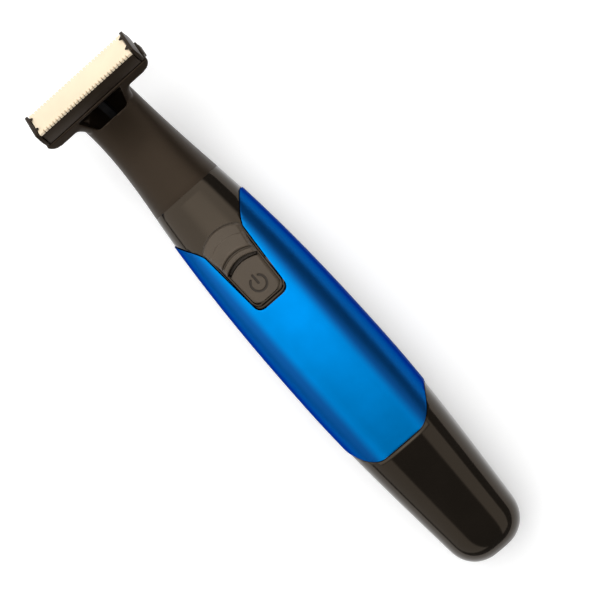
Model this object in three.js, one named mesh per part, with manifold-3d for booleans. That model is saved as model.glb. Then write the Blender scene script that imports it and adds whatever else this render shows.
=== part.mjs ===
// Cordless body groomer: a T-shaped trimming head on a slim neck, a two-shell handle with a coloured grip
// cover, a thumb slider, a motor with an eccentric, and a rocking lever that drives the moving blade.
//
// Frame: X across the handle, +Y along the handle toward the head, +Z out of the switch side. The groomer
// lies on its back. All lengths are in millimetres. The origin is at the bottom centre of the whole object.

import * as THREE from 'three';
import { mergeVertices } from 'three/addons/utils/BufferGeometryUtils.js';
import Module from 'manifold-3d';

const wasm = await Module();
wasm.setup();

// ---------------------------------------------------------------- driving dimensions

// clearances
const GAP = 0.3; // between two pieces that touch or are cut to each other
const PARTING = 0.1; // half of the visible line between two mating shells
const RUNNING = 0.35; // round a piece that moves

// handle case, measured from the flat end of the handle
const CASE_LENGTH = 118; // to the seam under the neck
const BELLY_Y = 58; // widest place
const END_HALF_WIDTH = 9.8;
const BELLY_HALF_WIDTH = 13.2;
const SEAM_HALF_WIDTH = 10;
const END_FRONT = 8;
const BELLY_FRONT = 10.5;
const SEAM_FRONT = 7.8;
const END_BACK = 9;
const BELLY_BACK = 12.2;
const SEAM_BACK = 8.6;
const REST_DEPTH = 11.5; // the back is flattened here, so that it lies steady
const END_ROUNDING = 8;
const END_FULLNESS = 2.4; // roundness of the rounded end: 2 is an ellipse, more is squarer
const END_FLAT = 0.6;
const WALL = 2.2;
const COLLAR_LENGTH = 3; // closed wall at the seam, round the neck plug
const SHELL_SPLIT_Z = -3;
const FRONT_FULLNESS = 2.4; // superellipse exponents of the section
const BACK_FULLNESS = 2.6;

// grip cover
const COVER_PROUD = 0.25;
const COVER_SINK = 0.9;
const COVER_BOTTOM_Y = 36.8;
const COVER_BOTTOM_HALF = 5.5;
const COVER_SIDE_BOTTOM_Y = 44.4;
const COVER_SIDE_TOP_Y = CASE_LENGTH - 8;
const NOTCH_BOTTOM_Y = CASE_LENGTH - 34; // the cover's notch round the slider
const NOTCH_HALF_WIDTH = 5.1;
const NOTCH_TOP_HALF_WIDTH = 6.3;
const NOTCH_TOP_Y = CASE_LENGTH - 15.2;
const NOTCH_CORNER = 2.6;

// thumb slider and its bezel
const SLIDE_TRAVEL = 4.5;
const PAD_BOTTOM_Y = NOTCH_BOTTOM_Y + 1.8;
const PAD_HALF_WIDTH = 4.2;
const PAD_TOP_HALF_WIDTH = 4.75;
const PAD_CORNER = 1.8;
const PAD_PROUD = 0.35;
const PAD_SINK = 1;
const HUMP_LOW_Y = PAD_BOTTOM_Y + 11.6;
const HUMP_HIGH_Y = HUMP_LOW_Y + 9.3;
const SHANK_LENGTH = 1.2; // what joins the hump to the pad
const HUMP_LOW_HALF_WIDTH = 5;
const HUMP_HALF_WIDTH = 5.9;
const HUMP_ARC = 8.5; // radius of the arcs across the slider
const HUMP_LIFT = 0.45;
const HUMP_PROUD = 1.15;
const STEP_Y = HUMP_HIGH_Y - 3.2;
const STEP_PROUD = 1.55;
const RIDGE_Y = HUMP_LOW_Y + 2;
const RIDGE_WIDTH = 0.7;
const RIDGE_PROUD = 1.85;
const GROOVE_WIDTH = 1.1; // across the pad, under the hump
const GROOVE_SINK = 0.4;
const BEZEL_GAP = 0.25; // between pad and bezel
const BEZEL_WIDTH = 0.35;
const BEZEL_PROUD = 0.15;
const BEZEL_SINK = 1.1;
const POCKET_SINK = 1.4;
const STEM_HALF_WIDTH = 0.9;
const STEM_LENGTH = 3;
const STEM_Y = HUMP_LOW_Y - 1.7;
const STEM_TOP_Z = 8.3;

// electronics and drive
const BOARD_Z = 2.2;
const BOARD_THICKNESS = 0.8;
const BOARD_HALF_WIDTH = 6.6;
const BOARD_START_Y = 9;
const BOARD_END_Y = CASE_LENGTH - 10;
const SWITCH_HEIGHT = 1.2;
const CARRIER_Z = 5.1;
const CARRIER_THICKNESS = 0.8;
const CARRIER_HALF_WIDTH = 2.6;
const CARRIER_LENGTH = 8;
const NUB_LENGTH = 1.6;
const NUB_HEIGHT = 0.6;
const CELL_RADIUS = 5.25;
const CELL_LENGTH = 44.5;
const CELL_START_Y = 22;
const CELL_UNDER_BOARD = 0.15;
const DRIVE_AXIS_Z = -3.2; // motor and eccentric
const MOTOR_RADIUS = 6;
const MOTOR_FLATS = 10;
const MOTOR_LENGTH = 20;
const MOTOR_END_Y = CASE_LENGTH - 23;
const MOTOR_BOSS_RADIUS = 2.2;
const MOTOR_BOSS_LENGTH = 1.2;
const SHAFT_RADIUS = 0.75;
const ECCENTRIC_THROW = 0.7;
const ECCENTRIC_PIN_RADIUS = 1;
const ECCENTRIC_HUB_RADIUS = 2.4;
const ECCENTRIC_HUB_LENGTH = 3;
const ECCENTRIC_WEB = 0.6; // closed end of the hub, under the pin
const ECCENTRIC_PIN_LENGTH = 5;
const BRACKET_THICKNESS = 2;
const POST_RADIUS = 2.2;
const SCREW_RADIUS = 0.7;
const SCREW_HEAD_RADIUS = 1.4;
const SCREW_HEAD_HEIGHT = 0.9;
const SCREW_LENGTH = 5;
const LOWER_POST_Y = 15;
const UPPER_POST_SPACE = 4; // from the cell's end to the middle of the upper post
const SOCKET_HALF_WIDTH = 3.7;
const SOCKET_HEIGHT = 2.8;
const SOCKET_LENGTH = 8;
const SOCKET_WALL = 0.4;

// neck
const NECK_Z = -0.4; // centre of the section at the seam
const NECK_HALF_DEPTH = 8.2; // at the seam
const WAIST_HALF_WIDTH = 7.9;
const WAIST_Y = CASE_LENGTH + 26;
const NECK_MID_HALF_DEPTH = 5.7;
const NECK_TOP_HALF_DEPTH = 3.6;
const NECK_WALL = 1.6;
const PLUG_LENGTH = 7;
const PLUG_HALF_WIDTH = 7.6;
const PLUG_HALF_DEPTH = 6.5;
const PLUG_WALL = 1.3;
const SEAL_SIZE = 1;
const LEVER_PIVOT_Y = CASE_LENGTH + 8;
const PIN_RADIUS = 1;
const PIN_BITE = 0.7; // how far the pin enters each wall of the neck

// head, in its own tilted frame: Y out through the comb plate, Z toward the front edge
const HEAD_TILT = THREE.MathUtils.degToRad(45);
const PLATE_Y = CASE_LENGTH + 36.7; // centre of the plate's outer face
const PLATE_Z = 13.3;
const HEAD_HALF_WIDTH = 16.3;
const HEAD_DEPTH = 7.6;
const HEAD_HALF_HEIGHT = 3.8;
const HEAD_CORNER = 3.4;
const HEAD_FILLET = 3.5;
const FRAME_FLOOR = 2.6;
const EAR_REACH = 0.45; // the grips at the bar's ends
const EAR_LENGTH = 1.6;
const EAR_BACK = -2.3;
const EAR_FRONT = 1.3;
const LUG_HALF_SPAN = 15.2;
const LUG_WIDTH = 3.4;
const LUG_THICKNESS = 0.8;
const LUG_REACH = 3;
const WINDOW_ABOVE_BAR = 1.4; // how far the hair window runs up into the bar's lower edge
const WINDOW_HEIGHT = 4.5;
const WINDOW_TOP_HALF = 6.9;
const WINDOW_BOTTOM_HALF = 4.7;

// cutting unit
const PLATE_HALF_LENGTH = 15;
const PLATE_THICKNESS = 0.8;
const TOOTH_PITCH = 1;
const TOOTH_SLOT = 0.32;
const TOOTH_DEPTH = 1;
const BLADE_THICKNESS = 0.5;
const BLADE_STROKE = 1; // each way
const BLADE_HALF_HEIGHT = 2.8;
const BLADE_TOOTH_PITCH = 1.8;
const BLADE_TOOTH_SLOT = 0.8;
const BLADE_TOOTH_DEPTH = 0.9;
const HOUSING_HALF_HEIGHT = 3.6;
const HOUSING_WALL = 0.35;
const GUARD_WIDTH = 1.2;
const GUARD_TAPER = 0.45; // how far the guard's outer face draws in at its foot
const GUARD_TAPER_LENGTH = 1.8;
const GUARD_PROUD = 0.5;
const GUARD_TOOTH = 0.9;
const TIP_RADIUS = 1;
const CARRIER_BLOCK_HALF = 2.6;

// ---------------------------------------------------------------- derived places

const OVERALL_LENGTH = PLATE_Y + (HEAD_HALF_HEIGHT * Math.sin(HEAD_TILT))
  + (GUARD_PROUD * Math.cos(HEAD_TILT));
const BOARD_TOP_Z = BOARD_Z + BOARD_THICKNESS;
const MOTOR_START_Y = MOTOR_END_Y - MOTOR_LENGTH;
const BRACKET_Y = MOTOR_END_Y + GAP;
const HUB_Y = BRACKET_Y + BRACKET_THICKNESS + (2 * RUNNING);
const ECCENTRIC_PIN_Y = HUB_Y + ECCENTRIC_HUB_LENGTH;
const FORK_START_Y = ECCENTRIC_PIN_Y + RUNNING;
const FORK_BRIDGE_Y = ECCENTRIC_PIN_Y + ECCENTRIC_PIN_LENGTH + RUNNING;
const PLUG_START_Y = CASE_LENGTH - PLUG_LENGTH;
const CELL_END_Y = CELL_START_Y + CELL_LENGTH;
const CELL_Z = BOARD_Z - CELL_UNDER_BOARD - CELL_RADIUS;
const POST_YS = [LOWER_POST_Y, CELL_END_Y + UPPER_POST_SPACE];
const WINDOW_TOP_Y = pointInHead(0, -HEAD_DEPTH, HEAD_HALF_HEIGHT).y + WINDOW_ABOVE_BAR;
const WINDOW_BOTTOM_Y = WINDOW_TOP_Y - WINDOW_HEIGHT;
const HOUSING_TOP = -PLATE_THICKNESS - GAP;
const HOUSING_BOTTOM = -HEAD_DEPTH + FRAME_FLOOR + GAP;
const BLADE_TOP = HOUSING_TOP + 0.1;
const NECK_END = pointInHead(0, -HEAD_DEPTH + 1, 0);

// ---------------------------------------------------------------- solid helpers

function toSolid(geometry) {
  const bare = geometry.index ? geometry.clone() : mergeVertices(geometry.clone());
  bare.deleteAttribute('normal');
  bare.deleteAttribute('uv');
  const merged = mergeVertices(bare, 1e-4);
  return new wasm.Manifold(new wasm.Mesh({
    numProp: 3,
    vertProperties: new Float32Array(merged.attributes.position.array),
    triVerts: new Uint32Array(merged.index.array),
  }));
}

function toGeometry(solid) {
  const mesh = solid.getMesh();
  const geometry = new THREE.BufferGeometry();
  geometry.setAttribute('position', new THREE.BufferAttribute(mesh.vertProperties, 3));
  geometry.setIndex(new THREE.BufferAttribute(mesh.triVerts, 1));
  return geometry;
}

const join = (first, ...others) => others.reduce((all, one) => all.add(one), first);
const cut = (first, ...others) => others.reduce((left, one) => left.subtract(one), first);

function box(x0, x1, y0, y1, z0, z1) {
  const geometry = new THREE.BoxGeometry(x1 - x0, y1 - y0, z1 - z0);
  geometry.translate((x0 + x1) / 2, (y0 + y1) / 2, (z0 + z1) / 2);
  return toSolid(geometry);
}

// A round bar along one axis ('x', 'y' or 'z') from its start, centred on the other two coordinates.
function bar(axis, radius, length, x, y, z, sides = 20) {
  const geometry = new THREE.CylinderGeometry(radius, radius, length, sides);
  geometry.translate(0, length / 2, 0);
  if (axis === 'x') geometry.rotateZ(-Math.PI / 2);
  if (axis === 'z') geometry.rotateX(Math.PI / 2);
  geometry.translate(x, y, z);
  return toSolid(geometry);
}

// An outline drawn in X and Y, stood up along Z.
function prism(shape, z0, z1, curveSegments = 8) {
  const geometry = new THREE.ExtrudeGeometry(shape, { depth: z1 - z0, bevelEnabled: false, curveSegments });
  geometry.translate(0, 0, z0);
  return toSolid(geometry);
}

// A smooth curve through places that each have a value and a slope.
function smoothCurve(places) {
  return (at) => {
    const last = places.length - 2;
    const index = Math.max(0, Math.min(last, places.findLastIndex((place) => place.at <= at)));
    const [from, to] = [places[index], places[index + 1]];
    const span = to.at - from.at;
    const t = THREE.MathUtils.clamp((at - from.at) / span, 0, 1);
    const blend = t * t * (3 - (2 * t));
    const leave = t * (1 - t) * (1 - t) * span * from.slope;
    const arrive = t * t * (t - 1) * span * to.slope;
    return (from.value * (1 - blend)) + (to.value * blend) + leave + arrive;
  };
}

const signedPower = (value, power) => Math.sign(value) * (Math.abs(value) ** power);

// A closed solid through a row of sections. place(step, across, up) gives the point of one section, where
// across
// and up run from -1 to 1.
function loft(steps, sides, place) {
  const geometry = new THREE.CylinderGeometry(1, 1, 1, sides, steps, false);
  const position = geometry.attributes.position;
  const point = new THREE.Vector3();
  for (let i = 0; i < position.count; i += 1) {
    point.fromBufferAttribute(position, i);
    const step = Math.round((point.y + 0.5) * steps);
    const placed = place(step, point.x, point.z);
    position.setXYZ(i, placed.x, placed.y, placed.z);
  }
  return toSolid(geometry);
}

// ---------------------------------------------------------------- handle form

const caseHalfWidth = smoothCurve([
  { at: 0, value: END_HALF_WIDTH, slope: 0.07 },
  { at: BELLY_Y, value: BELLY_HALF_WIDTH, slope: 0 },
  { at: CASE_LENGTH, value: SEAM_HALF_WIDTH, slope: -0.13 },
  { at: WAIST_Y, value: WAIST_HALF_WIDTH, slope: 0 },
]);
const caseFront = smoothCurve([
  { at: 0, value: END_FRONT, slope: 0.07 },
  { at: BELLY_Y, value: BELLY_FRONT, slope: 0 },
  { at: CASE_LENGTH, value: SEAM_FRONT, slope: -0.06 },
]);
const caseBack = smoothCurve([
  { at: 0, value: END_BACK, slope: 0.12 },
  { at: BELLY_Y, value: BELLY_BACK, slope: 0 },
  { at: CASE_LENGTH, value: SEAM_BACK, slope: -0.13 },
]);

function endRounding(y) {
  const reach = Math.min(1, (y + END_FLAT) / (END_ROUNDING + END_FLAT));
  return (1 - ((1 - reach) ** END_FULLNESS)) ** (1 / END_FULLNESS);
}

// The handle's outer form, drawn in by inset; a negative inset stands proud of it.
function caseForm(inset, sides = 36) {
  const start = Math.max(0, inset);
  const roundSteps = 5;
  const longSteps = 12;
  const roundEnd = start + END_ROUNDING;
  const stepY = (step) => (step <= roundSteps
    ? start + (END_ROUNDING * (1 - Math.cos((step / roundSteps) * Math.PI / 2)))
    : roundEnd + ((CASE_LENGTH - roundEnd) * (step - roundSteps) / longSteps));
  return loft(roundSteps + longSteps, sides, (step, across, up) => {
    const y = stepY(step);
    const shrink = endRounding(y - start);
    const fullness = up > 0 ? FRONT_FULLNESS : BACK_FULLNESS;
    const depth = up > 0 ? caseFront(y) : caseBack(y);
    return {
      x: signedPower(across, 2 / fullness) * (caseHalfWidth(y) - inset) * shrink,
      y,
      z: Math.max(signedPower(up, 2 / fullness) * (depth - inset) * shrink, inset - REST_DEPTH),
    };
  });
}

// The part of the handle between two insets, inside an outline seen from the front.
const skin = (outline, outer, inner) => caseForm(outer).intersect(outline).subtract(caseForm(inner));

// Outline of the grip cover from the front. extra grows it, for the recess that the cover sits in.
function coverOutline(extra) {
  const far = BELLY_HALF_WIDTH + 5;
  const top = COVER_SIDE_TOP_Y + extra;
  const sideBottom = COVER_SIDE_BOTTOM_Y - extra;
  const bottom = COVER_BOTTOM_Y - extra;
  const notchBottom = NOTCH_BOTTOM_Y + extra;
  const notchHalf = NOTCH_HALF_WIDTH - extra;
  const notchTopHalf = NOTCH_TOP_HALF_WIDTH - extra;
  const edge = caseHalfWidth(COVER_SIDE_TOP_Y);
  const belly = caseHalfWidth(COVER_SIDE_BOTTOM_Y);
  const shape = new THREE.Shape();
  shape.moveTo(-COVER_BOTTOM_HALF, bottom);
  shape.lineTo(COVER_BOTTOM_HALF, bottom);
  shape.bezierCurveTo(belly * 0.7, bottom, belly * 0.89, sideBottom - 3.4, belly + 0.2, sideBottom);
  shape.lineTo(far, sideBottom);
  shape.lineTo(far, top);
  shape.lineTo(edge, top);
  shape.bezierCurveTo(edge - 1.7, top - 2.5, notchTopHalf + 0.6, NOTCH_TOP_Y + 2, notchTopHalf, NOTCH_TOP_Y);
  shape.lineTo(notchHalf, notchBottom + NOTCH_CORNER);
  shape.quadraticCurveTo(notchHalf, notchBottom, notchHalf - NOTCH_CORNER, notchBottom);
  shape.lineTo(NOTCH_CORNER - notchHalf, notchBottom);
  shape.quadraticCurveTo(-notchHalf, notchBottom, -notchHalf, notchBottom + NOTCH_CORNER);
  shape.lineTo(-notchTopHalf, NOTCH_TOP_Y);
  shape.bezierCurveTo(-notchTopHalf - 0.6, NOTCH_TOP_Y + 2, 1.7 - edge, top - 2.5, -edge, top);
  shape.lineTo(-far, top);
  shape.lineTo(-far, sideBottom);
  shape.lineTo(-belly - 0.2, sideBottom);
  shape.bezierCurveTo(-belly * 0.89, sideBottom - 3.4, -belly * 0.7, bottom, -COVER_BOTTOM_HALF, bottom);
  return prism(shape, SHELL_SPLIT_Z + PARTING - extra, BELLY_FRONT + 5, 5);
}

// The slider pad's outline, grown by extra. It runs up to topY, where it is a little wider.
function padOutline(extra, topY) {
  const low = PAD_BOTTOM_Y - extra;
  const corner = PAD_CORNER + extra;
  const lowHalf = PAD_HALF_WIDTH + extra;
  const topHalf = PAD_TOP_HALF_WIDTH + extra;
  const shape = new THREE.Shape();
  shape.moveTo(corner - lowHalf, low);
  shape.lineTo(lowHalf - corner, low);
  shape.quadraticCurveTo(lowHalf, low, lowHalf, low + corner);
  shape.lineTo(topHalf, topY);
  shape.lineTo(-topHalf, topY);
  shape.lineTo(-lowHalf, low + corner);
  shape.quadraticCurveTo(-lowHalf, low, corner - lowHalf, low);
  return prism(shape, 0, BELLY_FRONT + 5, 5);
}

// A band across the slider between two arcs that bulge toward the head.
function arcBand(lowY, highY, lowHalf, highHalf) {
  const sag = (half) => HUMP_ARC - Math.sqrt((HUMP_ARC ** 2) - (half ** 2));
  const shape = new THREE.Shape();
  shape.moveTo(-lowHalf, lowY - sag(lowHalf));
  shape.quadraticCurveTo(0, lowY + sag(lowHalf), lowHalf, lowY - sag(lowHalf));
  shape.lineTo(highHalf, highY - sag(highHalf));
  shape.quadraticCurveTo(0, highY + sag(highHalf), -highHalf, highY - sag(highHalf));
  shape.closePath();
  return prism(shape, 0, BELLY_FRONT + 5, 8);
}

// A band of the slider's hump, whose sides run outward toward the head.
function humpBand(lowY, highY) {
  const halfAt = (y) => THREE.MathUtils.mapLinear(
    y, HUMP_LOW_Y, HUMP_HIGH_Y, HUMP_LOW_HALF_WIDTH, HUMP_HALF_WIDTH,
  );
  return arcBand(lowY, highY, halfAt(lowY), halfAt(highY));
}

// A straight superelliptic plug along Y, centred on the neck's axis.
function plug(halfWidth, halfDepth, y0, y1) {
  return loft(1, 32, (step, across, up) => ({
    x: signedPower(across, 2 / FRONT_FULLNESS) * halfWidth,
    y: step === 0 ? y0 : y1,
    z: NECK_Z + (signedPower(up, 2 / FRONT_FULLNESS) * halfDepth),
  }));
}

// ---------------------------------------------------------------- handle pieces

const pocketTopY = HUMP_LOW_Y + SHANK_LENGTH + SLIDE_TRAVEL + BEZEL_GAP;
const bezelTopY = pocketTopY + BEZEL_WIDTH;
const neckHole = () => plug(
  PLUG_HALF_WIDTH + GAP, PLUG_HALF_DEPTH + GAP, PLUG_START_Y - GAP, CASE_LENGTH + 1,
);

function caseHalf(isFront) {
  const far = BELLY_HALF_WIDTH + 5;
  const side = isFront
    ? box(-far, far, -1, CASE_LENGTH + 1, SHELL_SPLIT_Z + PARTING, far)
    : box(-far, far, -1, CASE_LENGTH + 1, -far, SHELL_SPLIT_Z - PARTING);
  const cavity = caseForm(WALL).intersect(box(-far, far, 0, CASE_LENGTH - COLLAR_LENGTH, -far, far));
  return cut(caseForm(0).intersect(side), cavity, neckHole());
}

function socketHole() {
  const half = SOCKET_HALF_WIDTH + GAP;
  return box(-half, half, -1, WALL + SOCKET_LENGTH, BOARD_Z - SOCKET_HEIGHT - (2 * GAP), BOARD_Z);
}

function frontShell() {
  const recess = coverOutline(GAP).subtract(caseForm(COVER_SINK + GAP));
  const bezelPocket = padOutline(BEZEL_GAP + BEZEL_WIDTH + GAP, bezelTopY + GAP)
    .subtract(caseForm(POCKET_SINK));
  const slotHalf = STEM_HALF_WIDTH + RUNNING;
  const slotStart = STEM_Y - (STEM_LENGTH / 2) - RUNNING;
  const slotEnd = STEM_Y + (STEM_LENGTH / 2) + SLIDE_TRAVEL + RUNNING;
  const slot = box(-slotHalf, slotHalf, slotStart, slotEnd, CARRIER_Z, BELLY_FRONT + 2);
  return cut(caseHalf(true), recess, bezelPocket, slot, socketHole());
}

function rearShell() {
  const far = BELLY_HALF_WIDTH + 5;
  const shell = cut(caseHalf(false), socketHole());
  const posts = POST_YS.map((y) => bar('z', POST_RADIUS, REST_DEPTH - (WALL / 2) + BOARD_Z - GAP, 0, y,
    (WALL / 2) - REST_DEPTH).intersect(caseForm(WALL / 2)));
  const ribYs = [CELL_START_Y + 6, CELL_END_Y - 6, MOTOR_START_Y + 4, MOTOR_END_Y - 5];
  const cellRoom = bar('y', CELL_RADIUS + GAP, CELL_LENGTH + 2, 0, CELL_START_Y - 1, CELL_Z, 28);
  const motorRoom = bar('y', MOTOR_RADIUS + GAP, MOTOR_LENGTH + 2, 0, MOTOR_START_Y - 1, DRIVE_AXIS_Z, 28);
  const ribs = ribYs.map((y) => box(-far, far, y, y + 1.2, -far, SHELL_SPLIT_Z - PARTING)
    .intersect(caseForm(WALL / 2)).subtract(cellRoom).subtract(motorRoom));
  const holes = POST_YS.map((y) => bar('z', SCREW_RADIUS + GAP, SCREW_LENGTH + BOARD_THICKNESS + GAP, 0, y,
    BOARD_TOP_Z - SCREW_LENGTH - GAP));
  return cut(join(shell, ...posts, ...ribs), ...holes);
}

function gripCover() {
  return skin(coverOutline(0), -COVER_PROUD, COVER_SINK);
}

function switchBezel() {
  const outer = padOutline(BEZEL_GAP + BEZEL_WIDTH, bezelTopY);
  const inner = padOutline(BEZEL_GAP, pocketTopY);
  return cut(skin(outer, -BEZEL_PROUD, BEZEL_SINK), inner);
}

function powerSlider() {
  const pad = skin(padOutline(0, HUMP_LOW_Y + 0.5), -PAD_PROUD, PAD_SINK);
  const shankBand = arcBand(HUMP_LOW_Y, HUMP_LOW_Y + SHANK_LENGTH, PAD_HALF_WIDTH, PAD_HALF_WIDTH);
  const shank = skin(shankBand, -HUMP_PROUD, PAD_SINK);
  const hump = skin(humpBand(HUMP_LOW_Y, HUMP_HIGH_Y), -HUMP_PROUD, -HUMP_LIFT);
  const step = skin(humpBand(HUMP_LOW_Y, STEP_Y), -STEP_PROUD, -HUMP_LIFT);
  const ridge = skin(humpBand(RIDGE_Y, RIDGE_Y + RIDGE_WIDTH), -RIDGE_PROUD, -HUMP_LIFT);
  const groove = arcBand(HUMP_LOW_Y - GROOVE_WIDTH, HUMP_LOW_Y, HUMP_HALF_WIDTH, HUMP_HALF_WIDTH)
    .subtract(caseForm(GROOVE_SINK));
  const half = STEM_HALF_WIDTH + GAP;
  const stemHole = box(-half, half, STEM_Y - (STEM_LENGTH / 2) - GAP, STEM_Y + (STEM_LENGTH / 2) + GAP, 0,
    STEM_TOP_Z + GAP);
  return cut(join(pad, shank, hump, step, ridge), groove, stemHole);
}

function sliderCarrier() {
  const half = CARRIER_LENGTH / 2;
  const plate = box(-CARRIER_HALF_WIDTH, CARRIER_HALF_WIDTH, STEM_Y - half, STEM_Y + half, CARRIER_Z,
    CARRIER_Z + CARRIER_THICKNESS);
  const stem = box(-STEM_HALF_WIDTH, STEM_HALF_WIDTH, STEM_Y - (STEM_LENGTH / 2), STEM_Y + (STEM_LENGTH / 2),
    CARRIER_Z, STEM_TOP_Z);
  const prong = (from) => box(
    -STEM_HALF_WIDTH, STEM_HALF_WIDTH, from, from + 1, CARRIER_Z - NUB_HEIGHT, CARRIER_Z,
  );
  const reach = (NUB_LENGTH / 2) + GAP;
  return join(plate, stem, prong(STEM_Y - reach - 1), prong(STEM_Y + reach));
}

function switchNub() {
  const z = BOARD_TOP_Z + SWITCH_HEIGHT + 0.1;
  return box(-0.6, 0.6, STEM_Y - (NUB_LENGTH / 2), STEM_Y + (NUB_LENGTH / 2), z, CARRIER_Z - 0.1);
}

function slideSwitch() {
  const z = BOARD_TOP_Z;
  return box(-2.2, 2.2, STEM_Y - 3, STEM_Y + SLIDE_TRAVEL + 3, z, z + SWITCH_HEIGHT);
}

function circuitBoard() {
  const board = box(-BOARD_HALF_WIDTH, BOARD_HALF_WIDTH, BOARD_START_Y, BOARD_END_Y, BOARD_Z, BOARD_TOP_Z);
  const holes = POST_YS.map((y) => bar(
    'z', SCREW_RADIUS + GAP, BOARD_THICKNESS * 3, 0, y, BOARD_Z - BOARD_THICKNESS,
  ));
  const tabSlots = [CELL_START_Y - 1, CELL_END_Y + 1].map((y) => box(-2, 2, y - 0.6, y + 0.6, BOARD_Z - 1,
    BOARD_TOP_Z + 1));
  return cut(board, ...holes, ...tabSlots);
}

function boardScrew(y) {
  const head = bar('z', SCREW_HEAD_RADIUS, SCREW_HEAD_HEIGHT, 0, y, BOARD_TOP_Z + 0.05);
  const shank = bar('z', SCREW_RADIUS, SCREW_LENGTH + 0.05, 0, y, BOARD_TOP_Z - SCREW_LENGTH, 12);
  const drive = box(
    -SCREW_HEAD_RADIUS, SCREW_HEAD_RADIUS, y - 0.2, y + 0.2, BOARD_TOP_Z + 0.55, BOARD_TOP_Z + 2,
  );
  return cut(join(head, shank), drive);
}

function batteryCell() {
  const body = bar('y', CELL_RADIUS, CELL_LENGTH - 1, 0, CELL_START_Y, CELL_Z, 28);
  const button = bar('y', CELL_RADIUS * 0.35, 2, 0, CELL_START_Y + CELL_LENGTH - 2, CELL_Z, 16);
  return join(body, button);
}

// A bent strip from one end of the cell up through the board.
function batteryTab(y, direction) {
  const face = y + (direction * 0.7);
  const strip = box(-1.5, 1.5, face - 0.15, face + 0.15, CELL_Z - 1.5, BOARD_TOP_Z + 0.6);
  const foot = box(-1.5, 1.5, Math.min(y + (direction * 0.2), face), Math.max(y + (direction * 0.2), face),
    CELL_Z - 1.5, CELL_Z + 1);
  return join(strip, foot);
}

function chargeSocket() {
  const top = BOARD_Z - GAP;
  const bottom = BOARD_Z - SOCKET_HEIGHT;
  const y0 = WALL + GAP;
  const body = box(-SOCKET_HALF_WIDTH, SOCKET_HALF_WIDTH, y0, y0 + SOCKET_LENGTH, bottom, top);
  const inner = SOCKET_HALF_WIDTH - SOCKET_WALL;
  const room = box(-inner, inner, y0 - 1, y0 + SOCKET_LENGTH - 1, bottom + SOCKET_WALL, top - SOCKET_WALL);
  const middle = (top + bottom) / 2;
  const tongue = box(-inner + 0.7, inner - 0.7, y0 + 1, y0 + SOCKET_LENGTH, middle - 0.3, middle + 0.3);
  return join(cut(body, room), tongue);
}

function motorCan() {
  const flat = MOTOR_FLATS / 2;
  const body = bar('y', MOTOR_RADIUS, MOTOR_LENGTH, 0, MOTOR_START_Y, DRIVE_AXIS_Z, 28)
    .intersect(box(-MOTOR_RADIUS, MOTOR_RADIUS, 0, CASE_LENGTH, DRIVE_AXIS_Z - flat, DRIVE_AXIS_Z + flat));
  const boss = bar('y', MOTOR_BOSS_RADIUS, MOTOR_BOSS_LENGTH + 1, 0, MOTOR_END_Y - 1, DRIVE_AXIS_Z);
  const bore = bar('y', SHAFT_RADIUS + RUNNING, MOTOR_LENGTH, 0, MOTOR_START_Y + 3, DRIVE_AXIS_Z, 16);
  return cut(join(body, boss), bore);
}

function motorBracket() {
  const far = BELLY_HALF_WIDTH;
  const plate = box(-far, far, BRACKET_Y, BRACKET_Y + BRACKET_THICKNESS, -far, BOARD_Z - GAP)
    .intersect(caseForm(WALL + GAP));
  return cut(plate, bar('y', MOTOR_BOSS_RADIUS + GAP, BRACKET_THICKNESS * 3, 0, BRACKET_Y - BRACKET_THICKNESS,
    DRIVE_AXIS_Z));
}

function motorShaft() {
  const start = MOTOR_START_Y + 3 + RUNNING;
  const end = HUB_Y + ECCENTRIC_HUB_LENGTH - ECCENTRIC_WEB - GAP;
  return bar('y', SHAFT_RADIUS, end - start, 0, start, DRIVE_AXIS_Z, 16);
}

function eccentricCam() {
  const hub = bar('y', ECCENTRIC_HUB_RADIUS, ECCENTRIC_HUB_LENGTH, 0, HUB_Y, DRIVE_AXIS_Z, 24);
  const pin = bar('y', ECCENTRIC_PIN_RADIUS, ECCENTRIC_PIN_LENGTH + (ECCENTRIC_WEB / 2), 0,
    ECCENTRIC_PIN_Y - (ECCENTRIC_WEB / 2), DRIVE_AXIS_Z + ECCENTRIC_THROW, 20);
  const boreDepth = ECCENTRIC_HUB_LENGTH - ECCENTRIC_WEB + 1;
  const bore = bar('y', SHAFT_RADIUS + 0.1, boreDepth, 0, HUB_Y - 1, DRIVE_AXIS_Z, 16);
  return cut(join(hub, pin), bore);
}

// ---------------------------------------------------------------- neck

// A point of the tilted head frame in the handle's frame.
function pointInHead(x, out, toFront) {
  const point = new THREE.Vector3(x, out, toFront).applyAxisAngle(new THREE.Vector3(1, 0, 0), HEAD_TILT);
  return point.add(new THREE.Vector3(0, PLATE_Y, PLATE_Z));
}

function neckCurve() {
  const start = new THREE.Vector3(0, CASE_LENGTH + PARTING, NECK_Z);
  const reach = (NECK_END.y - start.y) * 0.5;
  const leave = new THREE.Vector3(0, start.y + reach, NECK_Z);
  const out = new THREE.Vector3(0, Math.cos(HEAD_TILT), Math.sin(HEAD_TILT));
  const arrive = NECK_END.clone().addScaledVector(out, -reach * 0.55);
  return new THREE.CubicBezierCurve3(start, leave, arrive, NECK_END);
}

function neckForm(inset) {
  const curve = neckCurve();
  const steps = 12;
  const halfDepth = smoothCurve([
    { at: 0, value: NECK_HALF_DEPTH, slope: -5 },
    { at: 0.45, value: NECK_MID_HALF_DEPTH, slope: -4.5 },
    { at: 1, value: NECK_TOP_HALF_DEPTH, slope: -1 },
  ]);
  return loft(steps, 36, (step, across, up) => {
    const t = step / steps;
    const centre = curve.getPointAt(t);
    const along = curve.getTangentAt(t);
    const lift = signedPower(up, 2 / FRONT_FULLNESS) * (halfDepth(t) - inset);
    return {
      x: signedPower(across, 2 / FRONT_FULLNESS) * (caseHalfWidth(centre.y) - inset),
      y: centre.y - (lift * along.z),
      z: centre.z + (lift * along.y),
    };
  });
}

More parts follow.
